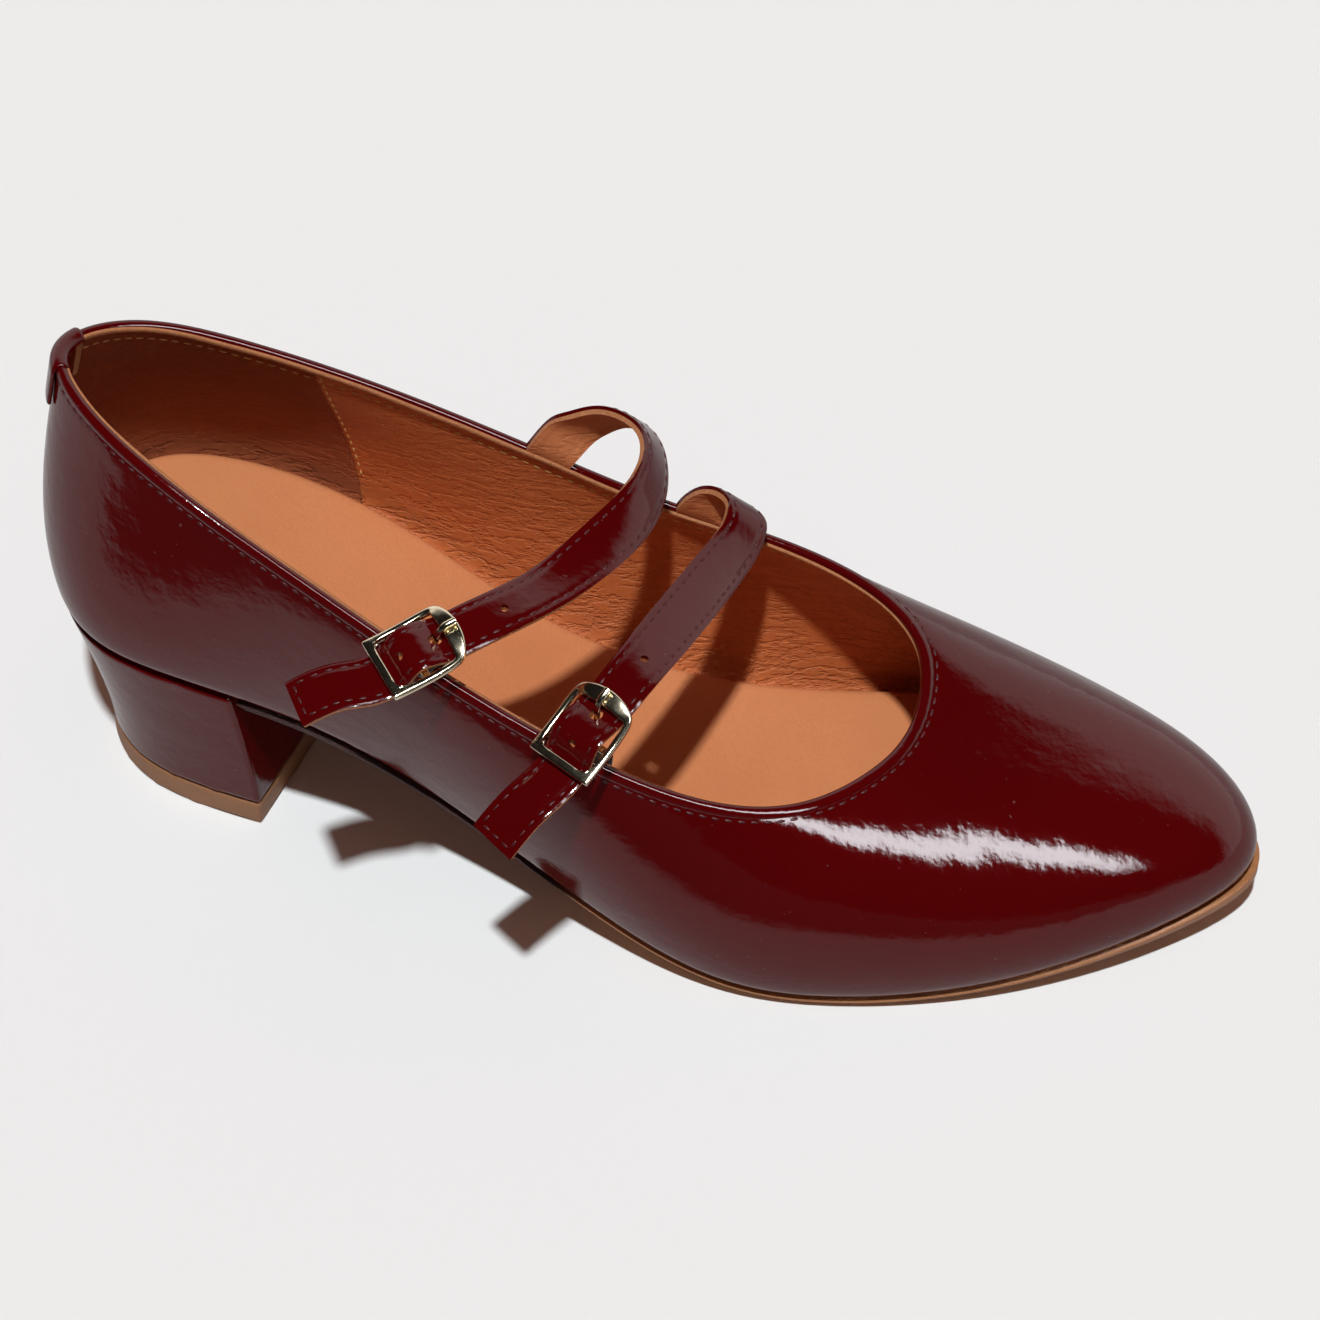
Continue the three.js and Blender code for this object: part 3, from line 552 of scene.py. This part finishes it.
# %% Tracks
class Track:
    LAP = 6

    def __init__(self, rows, closed=False):
        rows = [list(row) for row in rows]
        count = len(rows)
        if closed:
            rows = rows[-self.LAP:] + rows + rows[:self.LAP + 1]
        self.rows = np.array(rows)
        steps = np.linalg.norm(np.diff(self.rows[:, :3], axis=0), axis=1)
        self.knots = np.concatenate([[0.0], np.cumsum(steps)])
        first = self.LAP if closed else 0
        final = self.LAP + count if closed else count - 1
        self.start = self.knots[first]
        self.length = self.knots[final] - self.start
        self.closed = closed
        self.bend = self.solve(steps)

    def solve(self, steps):
        size = len(self.rows)
        matrix = np.eye(size)
        known = np.zeros_like(self.rows)
        slopes = np.diff(self.rows, axis=0) / steps[:, None]
        for i in range(1, size - 1):
            matrix[i, i - 1:i + 2] = steps[i - 1], 2 * (steps[i - 1] + steps[i]), steps[i]
            known[i] = 6 * (slopes[i] - slopes[i - 1])
        return np.linalg.solve(matrix, known)

    def at(self, s):
        place = self.start + (s % self.length if self.closed else s)
        i = int(np.clip(np.searchsorted(self.knots, place) - 1, 0, len(self.knots) - 2))
        step = self.knots[i + 1] - self.knots[i]
        a = (self.knots[i + 1] - place) / step
        b = 1 - a
        curve = (a ** 3 - a) * self.bend[i] + (b ** 3 - b) * self.bend[i + 1]
        return a * self.rows[i] + b * self.rows[i + 1] + curve * step * step / 6

    def point(self, s):
        return Vector(self.at(s)[:3])

    def heading(self, s, reach=0.2 * MM):
        return (self.point(s + reach) - self.point(s - reach)).normalized()


# %% [markdown]
# ## Upper
# The upper was lasted over a smooth form, so its walls have no flats and no corners but the rim and
# the feather edge. The welded copy of its node is a regular net of quads, so a subdivision surface
# makes it smooth. Faces that look into the shoe get the lining's finish.

# %% Upper shell
upper = copy_of("upper", "upper_shell")
WALL = 1.8 * MM
COLLAR_MIDDLE = last(85, 0, 0)
HEEL_REGION = last(60, 0, 0).x
# x and height of the middle of the inside, from heel to toe
INSIDE_HEIGHTS = [(0, 66), (60, 58), (120, 35), (170, 24), (215, 17), (245, 15)]
INSIDE_BACK, INSIDE_FRONT = 28, 205


def inside_place(x):
    """A place in the middle of the shoe's inside, level with x."""
    mm = (x - LAST_BACK.x) / MM
    height = np.interp(mm, *zip(*INSIDE_HEIGHTS))
    return last(min(max(mm, INSIDE_BACK), INSIDE_FRONT), 2, height)


def looks_inside(face):
    return face.normal.dot(face.center - inside_place(face.center.x)) < 0


def find_rim(shell):
    """The rim's corners, outer and inner, in order round the collar: its edges are as long as the
    wall is thick and lie high up."""
    pairs = []
    for edge in shell.data.edges:
        a, b = (shell.data.vertices[i].co.copy() for i in edge.vertices)
        middle = (a + b) / 2
        lowest = (60 if middle.x < HEEL_REGION else 40) * MM
        if middle.z < lowest or abs((a - b).length - WALL) > 0.02 * MM:
            continue
        away = (middle - COLLAR_MIDDLE) * Vector((1, 1, 0))
        if (a - b).dot(away.normalized() + UP) < 0:
            a, b = b, a
        pairs.append((math.atan2(away.y, away.x), a, b))
    return [(a, b) for _, a, b in sorted(pairs, key=lambda pair: pair[0])]


rim = find_rim(upper)
rim_track = Track([[*a, *(a - b).normalized()] for a, b in rim], closed=True)
print("rim corners:", len(rim), "rim length, mm:", round(rim_track.length / MM))

upper.data.materials.append(patent_leather)
upper.data.materials.append(lining_leather)
select_where(upper, "polygons", looks_inside)
upper.active_material_index = 1
bpy.ops.object.material_slot_assign()
leave()
smooth_over(upper, 2)
settle(upper, "patent_leather", "upper")
wall_tree = BVHTree.FromPolygons(
    [v.co for v in upper.data.vertices], [p.vertices for p in upper.data.polygons])

# %% [markdown]
# ## Topline
# The patent is rolled over at the rim, so the topline ends in a soft round bead. The rim's own faces
# are separated from a fresh copy of the shell and thickened, and a subdivision surface rounds them.

# %% Rolled topline
ROLL_HEIGHT = 2.3 * MM
ROLL_SWELL = 0.42 * MM


def rim_faces_of(shell):
    corners = [v for pair in rim for v in pair]
    tree = BVHTree.FromPolygons(
        [*corners, corners[0], corners[1]],
        [(2 * i, 2 * i + 1, 2 * i + 3, 2 * i + 2) for i in range(len(rim))])
    middles = {}
    for face in shell.data.polygons:
        middles[face.index] = tree.find_nearest(face.center)[3]
    return lambda face: middles[face.index] < 0.25 * MM


roll = copy_of("upper", "topline_roll")
select_where(roll, "polygons", rim_faces_of(roll))
bpy.ops.mesh.select_all(action="INVERT")
bpy.ops.mesh.delete(type="FACE")
leave()
roll.data.materials.append(patent_leather)
apply_modifier(roll, "SOLIDIFY", thickness=ROLL_HEIGHT, offset=-0.62)
edit(roll)
bpy.ops.transform.shrink_fatten(value=ROLL_SWELL)
bpy.ops.mesh.normals_make_consistent(inside=False)
leave()
smooth_over(roll, 3)
settle(roll, "patent_leather")


# %% [markdown]
# ## Stitches
# One stitch is a ball drawn out into a grain of rice and pressed into the leather. A seam is that
# stitch copied along a line on the surface, with its length on the line and its back to the leather.

# %% A row of stitches
bpy.ops.mesh.primitive_uv_sphere_add(segments=8, ring_count=6, radius=0.5)
stitch = bpy.context.object
stitch.name = "one_stitch"
edit(stitch)
bpy.ops.transform.rotate(value=math.pi / 2, orient_axis="Y", center_override=(0, 0, 0))
bpy.ops.transform.resize(value=(1, 1, 0.7))
leave()
stitch_corners = np.array([v.co for v in stitch.data.vertices])
stitch_faces = [tuple(p.vertices) for p in stitch.data.polygons]
bpy.data.objects.remove(stitch)


def sew(name, places, finish, length=2.1 * MM, width=0.55 * MM):
    """Stitches at places, each a point, the way along the seam and the way out of the leather."""
    corners, faces = [], []
    for point, heading, out in places:
        side = out.cross(heading).normalized()
        ahead = side.cross(out).normalized()
        turn = np.array([ahead * length, side * width, out.normalized() * width])
        start = len(corners)
        corners.extend(stitch_corners @ turn + np.array(point))
        faces.extend(tuple(start + i for i in face) for face in stitch_faces)
    mesh = bpy.data.meshes.new(name)
    mesh.from_pydata([tuple(c) for c in corners], [], faces)
    mesh.materials.append(finish)
    seam = bpy.data.objects.new(name, mesh)
    bpy.context.scene.collection.objects.link(seam)
    smooth_over(seam, 0)
    return seam


def steps_along(length, pitch):
    count = max(1, round(length / pitch))
    return [length * (i + 0.5) / count for i in range(count)]


# %% [markdown]
# Two seams run round the topline: the oxblood one outside, just below the roll, and a gold one inside
# that holds the lining. Each place starts at the rim, steps down the wall and is laid on its surface.

# %% Topline seams
def rim_frame(s):
    """The rim's outer corner, the way along it, out of the wall and down the wall."""
    row = rim_track.at(s)
    point, out = Vector(row[:3]), Vector(row[3:6]).normalized()
    heading = rim_track.heading(s, 1 * MM)
    down = heading.cross(out).normalized()
    away = ((point - COLLAR_MIDDLE) * Vector((1, 1, 0))).normalized()
    if down.dot(away - UP) < 0:
        down.negate()
    return point, heading, out, down


def seam_on_wall(s, drop, inside):
    point, heading, out, down = rim_frame(s)
    if inside:
        point = point - out * WALL
    place, normal, _, _ = wall_tree.find_nearest(point + down * drop)
    outward = -out if inside else out
    if normal.dot(outward) < 0:
        normal = -normal
    return place, heading, normal


SEAM_PITCH = 2.4 * MM
OUTER_SEAM_DROP = 2.3 * MM
LINING_SEAM_DROP = 3.4 * MM
outer_seam = sew("topline_seam", [
    seam_on_wall(s, OUTER_SEAM_DROP, False) for s in steps_along(rim_track.length, SEAM_PITCH)
], oxblood_thread, length=1.6 * MM, width=0.6 * MM)
settle(outer_seam, "patent_leather")
inner_seam = sew("lining_seam", [
    seam_on_wall(s, LINING_SEAM_DROP, True) for s in steps_along(rim_track.length, SEAM_PITCH)
], gold_thread, length=1.6 * MM, width=0.42 * MM)
settle(inner_seam, "patent_leather")

# %% [markdown]
# The counter lining is joined to the front lining by a leaning seam on each side of the heel, which
# runs down the inner walls from the topline to the insole.

# %% Counter seams
def counter_places(side):
    places = []
    for height in np.arange(48, 92, 2.4):
        x = SEAM_X + SEAM_LEAN * (height - SEAM_HEIGHT) + 0.9
        hit, normal, _, _ = wall_tree.ray_cast(last(x, 2, height), Vector((0, side, 0)))
        if hit is not None:
            facing = normal if normal.y * side < 0 else -normal
            places.append((hit, Vector((SEAM_LEAN, 0, 1)).normalized(), facing))
    return places


counter_seam = sew("counter_seam", counter_places(1) + counter_places(-1), gold_thread,
                   length=1.5 * MM, width=0.45 * MM)
settle(counter_seam, "patent_leather")

# %% [markdown]
# Inside the roll the lining is trimmed by hand, so its raw edge stands as a thin, slightly uneven
# line. It is a strip along the rim, bent from a grid, with a little waver.

# %% Raw edge of the lining
EDGE_TALL = 1.3 * MM
EDGE_THICK = 0.75 * MM


def ribbon(name, count, rows, place, closed):
    """A grid of count by rows faces, bent by place(share along, share across)."""
    bpy.ops.mesh.primitive_grid_add(x_subdivisions=count, y_subdivisions=rows, size=1)
    strip = bpy.context.object
    strip.name = name
    strip.data.name = name
    for vertex in strip.data.vertices:
        vertex.co = place(vertex.co.x + 0.5, vertex.co.y + 0.5)
    if closed:
        edit(strip)
        bpy.ops.mesh.remove_doubles(threshold=WELD)
        leave()
    return strip


def waver(s, size, seed):
    return size * (math.sin(s / (7.3 * MM) + seed) + 0.6 * math.sin(s / (3.1 * MM) + 2 * seed))


def edge_place(along, across):
    s = along * rim_track.length if along < 1 else 0.0
    point, _, out, down = rim_frame(s)
    top = waver(s, 0.10 * MM, 1.0) - 0.35 * MM
    return point - out * (WALL + 0.25 * MM) + down * (top + across * EDGE_TALL)


lining_edge = ribbon("lining_edge", 480, 2, edge_place, True)
apply_modifier(lining_edge, "SOLIDIFY", thickness=EDGE_THICK, offset=0)
smooth_over(lining_edge, 1)
lining_edge.data.materials.append(raw_leather_edge)
settle(lining_edge, "patent_leather")

# %% [markdown]
# ## Insole, sole and heel
# These hard and padded pieces are their nodes' own forms with edges that have been worked: creases
# keep an edge crisp while the subdivision surface rounds it a little and smooths the curves beside it.

# %% Insole
insole = copy_of("insole", "insole_pad")
crease_sharp(insole, 50, 0.35)
smooth_over(insole, 2)
insole.data.materials.append(insole_leather)
settle(insole, "sock_leather", "insole")

# %% Outsole
outsole = copy_of("outsole", "outsole_leather")
crease_sharp(outsole, 50, 0.85)
smooth_over(outsole, 2)
outsole.data.materials.append(tan_sole)
settle(outsole, "sole_leather", "outsole")

# %% Heel and top piece
heel = copy_of("heel_block", "heel_cover")
crease_sharp(heel, 40, 0.95)
smooth_over(heel, 3)
heel.data.materials.append(patent_heel)
settle(heel, "heel_cover", "heel_block")

top_piece = copy_of("heel_top_piece", "heel_lift")
crease_sharp(top_piece, 40, 0.92)
smooth_over(top_piece, 3)
top_piece.data.materials.append(tan_top_piece)
settle(top_piece, "top_piece_rubber", "heel_top_piece")

# %% [markdown]
# ## Straps
# Each strap grows out of the inner rim, stands up in a loop, crosses the instep and is threaded through
# its buckle. Its middle line is a short list of places, with the way across the strap at each. Two
# grids of the strap's length are bent along it: a patent film, and under it a slightly narrower tan
# back whose cut edge shows. Both are thickened downwards and punched. The face is a little domed,
# dips at both seams and turns down at its edges.

# %% Strap runs
STRAP_WIDTH = 10 * MM
STRAP_THICK = 1.7 * MM
STRAPS = {
    "rear": {
        "root_x": 91.5,
        "run": [
            (94.9, 29.9, 71.4, 0.85, 0.20, -0.48),
            (98.8, 31.0, 74.6, 0.70, 0.35, -0.62),
            (103.4, 31.2, 77.2, 0.55, 0.42, -0.72),
            (108.6, 28.8, 78.6, 0.42, 0.40, -0.80),
            (112.6, 24.0, 78.9, 0.34, 0.30, -0.86),
            (114.3, 17.0, 78.3, 0.42, 0.12, -0.84),
            (113.2, 8.7, 78.3, 0.58, -0.12, -0.70),
            (109.5, -1.6, 78.7, 0.74, -0.38, -0.42),
            (102.5, -14.5, 79.0, 0.78, -0.58, -0.08),
        ],
        "buckle": (83.2, -34.7, 78.4),
        "to_tail": (-0.735, -0.634, -0.235),
        "across": (0.670, -0.734, -0.113),
        "tail": [(70.0, -43.2, 74.2, 0.74, -0.66, -0.05), (63.1, -47.2, 71.7, 0.78, -0.62, 0.0)],
    },
    "front": {
        "root_x": 121.0,
        "run": [
            (124.6, 29.5, 60.3, 0.86, 0.10, -0.48),
            (128.4, 28.0, 62.8, 0.78, 0.12, -0.60),
            (130.6, 25.4, 63.2, 0.70, 0.08, -0.68),
            (130.8, 21.6, 61.9, 0.67, -0.04, -0.73),
            (129.2, 14.2, 61.9, 0.72, -0.14, -0.66),
            (127.0, 4.0, 64.0, 0.80, -0.26, -0.50),
            (124.3, -8.0, 66.6, 0.85, -0.36, -0.32),
            (121.8, -18.0, 68.2, 0.88, -0.40, -0.14),
        ],
        "buckle": (114.6, -34.8, 64.8),
        "to_tail": (-0.4125, -0.798, -0.437),
        "across": (0.897, -0.441, -0.041),
        "tail": [
            (106.4, -48.2, 56.8, 0.91, -0.41, 0.0),
            (101.9, -54.0, 51.8, 0.93, -0.36, 0.04),
        ],
    },
}
# along the buckle and over it: where the strap dips under an end or rises over the bar
WEAVE = [(-9.0, -1.3), (-5.8, -0.9), (-1.4, 1.3), (1.3, 2.05), (3.9, 0.6),
         (6.1, -1.15), (8.6, -1.5)]


class BuckleSeat:
    """Where a buckle lies: along runs to the tail, across to the toe and over out of the foot."""

    def __init__(self, strap):
        self.along = Vector(strap["to_tail"]).normalized()
        across = Vector(strap["across"])
        self.across = (across - self.along * across.dot(self.along)).normalized()
        self.over = self.along.cross(self.across)
        self.origin = last(*strap["buckle"])

    def place(self, along, across, over):
        return self.origin + (self.along * along + self.across * across + self.over * over) * MM


def rim_length_at(x):
    """The length round the rim at which its inner side reaches x."""
    places = np.linspace(0, rim_track.length, 900)
    fits = [s for s in places if rim_track.point(s).y > LAST_BACK.y + 5 * MM]
    return min(fits, key=lambda s: abs(rim_track.point(s).x - x))


def strap_track(strap):
    seat = BuckleSeat(strap)
    point, heading, out, down = rim_frame(rim_length_at(last(strap["root_x"], 0, 0).x))
    if heading.x < 0:
        heading.negate()
    root = point - out * WALL / 2
    rows = [[*(root + down * 1.5 * MM), *heading], [*(root - down * 1.6 * MM), *heading]]
    rows += [[*last(*row[:3]), *row[3:]] for row in strap["run"]]
    rows += [[*seat.place(along, 0, over), *seat.across] for along, over in WEAVE]
    rows += [[*last(*row[:3]), *row[3:]] for row in strap["tail"]]
    return Track(rows)


def strap_frame(track, s):
    row = track.at(s)
    heading = track.heading(s, 0.1 * MM)
    across = Vector(row[3:6])
    across = (across - heading * across.dot(heading)).normalized()
    return Vector(row[:3]), heading, across, heading.cross(across)


SEAM_INSET = 1.35 * MM
DOME = 0.12 * MM
EDGE_TURN = 0.34 * MM
SEAM_DIP = 0.14 * MM
SEAM_DIP_WIDTH = 0.6 * MM


def face_height(v):
    """Height of the strap's face over its middle plane, v from the middle line."""
    edge = abs(v) / (STRAP_WIDTH / 2)
    seam = (abs(v) - (STRAP_WIDTH / 2 - SEAM_INSET)) / SEAM_DIP_WIDTH
    return STRAP_THICK / 2 + DOME - EDGE_TURN * edge ** 8 - SEAM_DIP * math.exp(-seam * seam)


def make_layer(name, track, finishes, sink, thick, width):
    """One layer of a strap, its face sink below the strap's face."""

    def place(along, across):
        middle, _, side, over = strap_frame(track, along * track.length)
        v = (across - 0.5) * width
        return middle + side * v + over * (face_height(v) - sink)

    band = ribbon(name, round(track.length / (0.9 * MM)), 26, place, False)
    for finish in finishes:
        band.data.materials.append(finish)
    edit(band)
    bpy.ops.mesh.normals_make_consistent(inside=False)
    leave()
    middle, _, _, over = strap_frame(track, track.length / 2)
    nearest = min(band.data.polygons, key=lambda f: (f.center - middle).length)
    if nearest.normal.dot(over) < 0:
        edit(band)
        bpy.ops.mesh.flip_normals()
        leave()
    apply_modifier(band, "SOLIDIFY", thickness=thick, offset=-1,
                   material_offset=1, material_offset_rim=2)
    return band


def punch(band, place, axis, radius):
    bpy.ops.mesh.primitive_cylinder_add(vertices=24, radius=radius, depth=8 * MM, location=place)
    drill = bpy.context.object
    drill.rotation_mode = "QUATERNION"
    drill.rotation_quaternion = axis.to_track_quat("Z", "Y")
    bpy.context.view_layer.update()
    drill.data.materials.append(strap_edge_paint)
    apply_modifier(band, "BOOLEAN", object=drill, operation="DIFFERENCE", solver="EXACT")
    bpy.data.objects.remove(drill)


def length_at(track, place):
    marks = np.linspace(0, track.length, 600)
    return min(marks, key=lambda s: (track.point(s) - place).length)


def strap_seams(key, track):
    """Both long seams, which stop short of the rim, and the short one across the tail."""
    start, end = 4.5 * MM, track.length - SEAM_INSET
    places = []
    for side in (-1, 1):
        v = side * (STRAP_WIDTH / 2 - SEAM_INSET)
        for step in steps_along(end - start, 2.5 * MM):
            middle, heading, across, over = strap_frame(track, start + step)
            places.append((middle + across * v + over * face_height(v), heading, over))
    middle, _, across, over = strap_frame(track, end)
    for step in steps_along(STRAP_WIDTH - 2 * SEAM_INSET, 2.4 * MM):
        v = step - STRAP_WIDTH / 2 + SEAM_INSET
        places.append((middle + across * v + over * face_height(v), across, over))
    return sew(f"strap_{key}_seam", places, oxblood_thread, length=1.6 * MM, width=0.55 * MM)


HOLE_AT = -3.6
SPARE_HOLES_AT = (-17.5, 4.0)
PRONG_HOLE = 1.2 * MM
SPARE_HOLE = 0.8 * MM
FILM = 0.75 * MM
for key, strap in STRAPS.items():
    track = strap_track(strap)
    seat = BuckleSeat(strap)
    before_buckle = length_at(track, seat.origin)
    film = make_layer(f"strap_{key}_film", track, (patent_strap, patent_strap, patent_strap),
                      0, FILM, STRAP_WIDTH)
    back = make_layer(f"strap_{key}_back", track,
                      (strap_back_leather, strap_back_leather, raw_leather_edge),
                      FILM, STRAP_THICK - FILM, STRAP_WIDTH - 0.5 * MM)
    for layer in (film, back):
        punch(layer, seat.place(HOLE_AT, 0, 0), seat.over, PRONG_HOLE)
        for beyond in SPARE_HOLES_AT:
            middle, _, _, over = strap_frame(track, before_buckle + beyond * MM)
            punch(layer, middle, over, SPARE_HOLE)
        smooth_over(layer, 0, 32)
    settle(film, "strap_leather", f"strap_{key}")
    settle(back, "strap_leather")
    settle(strap_seams(key, track), "strap_leather")
    print(f"strap {key}: {track.length / MM:.0f} mm long")

# %% [markdown]
# ## Buckles
# A buckle is one casting: a plain straight end, two thin sides and a broad bowed end on which the
# prong rests. A ring with four corners to its section is bent to that outline, its sharp edges are
# bevelled and a subdivision surface gives the polished, slightly melted look of plated metal.

# %% Buckle frames
FRAME_HALF = [
    # out along, out across, in along, in across, low, high
    (8.3, 0.0, 6.5, 0.0, 0.2, 1.8),
    (8.3, 6.9, 6.5, 5.5, 0.1, 1.7),
    (1.0, 6.9, 1.0, 5.5, -0.7, 0.9),
    (-5.6, 6.9, -4.9, 5.5, -0.3, 1.3),
    (-7.2, 6.0, -5.2, 5.0, 0.2, 1.9),
    (-8.5, 3.2, -5.4, 2.8, 0.6, 2.5),
    (-8.9, 0.0, -5.5, 0.0, 0.7, 2.7),
]
MIRRORED = [(a, -b, c, -d, low, high) for a, b, c, d, low, high in FRAME_HALF[-2:0:-1]]
BAR_AT = 1.0
BAR_RADIUS = 0.75
BAR_REACH = 6.2


def make_frame(key, seat):
    rows = FRAME_HALF + MIRRORED
    bpy.ops.mesh.primitive_torus_add(
        major_segments=len(rows), minor_segments=4, major_radius=8 * MM, minor_radius=1 * MM)
    ring = bpy.context.object
    ring.name = f"buckle_{key}_casting"
    for i, (out_a, out_b, in_a, in_b, low, high) in enumerate(rows):
        corners = [(out_a, out_b, low), (out_a, out_b, high), (in_a, in_b, high), (in_a, in_b, low)]
        for k, corner in enumerate(corners):
            ring.data.vertices[4 * i + k].co = seat.place(*corner)
    edit(ring)
    bpy.ops.mesh.normals_make_consistent(inside=False)
    leave()
    apply_modifier(ring, "BEVEL", width=0.42 * MM, segments=2, limit_method="ANGLE",
                   angle_limit=math.radians(38))
    smooth_over(ring, 2)
    ring.data.materials.append(buckle_gold)
    return ring


def make_bar(seat):
    start, end = seat.place(BAR_AT, -BAR_REACH, 0.05), seat.place(BAR_AT, BAR_REACH, 0.05)
    bpy.ops.mesh.primitive_cylinder_add(
        vertices=20, radius=BAR_RADIUS * MM, depth=(end - start).length,
        location=(start + end) / 2)
    bar = bpy.context.object
    bar.rotation_mode = "QUATERNION"
    bar.rotation_quaternion = (end - start).to_track_quat("Z", "Y")
    only(bar)
    bpy.ops.object.transform_apply(location=True, rotation=True, scale=True)
    smooth_over(bar, 0, 40)
    bar.data.materials.append(buckle_gold)
    return bar


# %% Prongs and elastics
for key, strap in STRAPS.items():
    seat = BuckleSeat(strap)
    casting = join_as(f"buckle_{key}_casting", [make_frame(key, seat), make_bar(seat)])
    settle(casting, "buckle_metal", f"buckle_{key}")
    prong = copy_of(f"prong_{key}", f"prong_{key}_pin")
    crease_sharp(prong, 60, 0.4)
    smooth_over(prong, 2)
    prong.data.materials.append(buckle_gold)
    settle(prong, "buckle_metal", f"prong_{key}")
    elastic = copy_of(f"elastic_{key}", f"elastic_{key}_web")
    crease_sharp(elastic, 50, 0.7)
    smooth_over(elastic, 2)
    elastic.data.materials.append(black_elastic)
    settle(elastic, "elastic_webbing", f"elastic_{key}")

# %% [markdown]
# ## Heel tab
# At the back of the topline a short strip of patent is folded over the rim and stitched down outside
# and inside, to cover the join of the roll. It is a grid bent over the rim, thickened a little.

# %% Heel tab
TAB_WIDTH = 12 * MM
TAB_REACH = 9 * MM
TAB_PROUD = 0.75 * MM
back_of_rim = min(np.linspace(0, rim_track.length, 900), key=lambda s: rim_track.point(s).x)


def tab_place(along, across):
    s = back_of_rim + (along - 0.5) * TAB_WIDTH
    point, _, out, down = rim_frame(s)
    half = WALL / 2 + TAB_PROUD + 0.25 * MM
    top = point - out * WALL / 2 + down * 0.7 * MM
    bend = math.pi * half
    run = (across - 0.5) * (2 * TAB_REACH + bend)
    if abs(run) <= bend / 2:
        angle = run / half
        return top + out * math.sin(angle) * half - down * math.cos(angle) * half
    side = math.copysign(1, run)
    return top + out * side * half + down * (abs(run) - bend / 2)


tab = ribbon("heel_tab", 14, 40, tab_place, False)
edit(tab)
bpy.ops.mesh.normals_make_consistent(inside=False)
leave()
apply_modifier(tab, "SOLIDIFY", thickness=0.9 * MM, offset=-1)
edit(tab)
bpy.ops.mesh.normals_make_consistent(inside=False)
leave()
smooth_over(tab, 1, 60)
tab.data.materials.append(patent_leather)
settle(tab, "patent_leather")
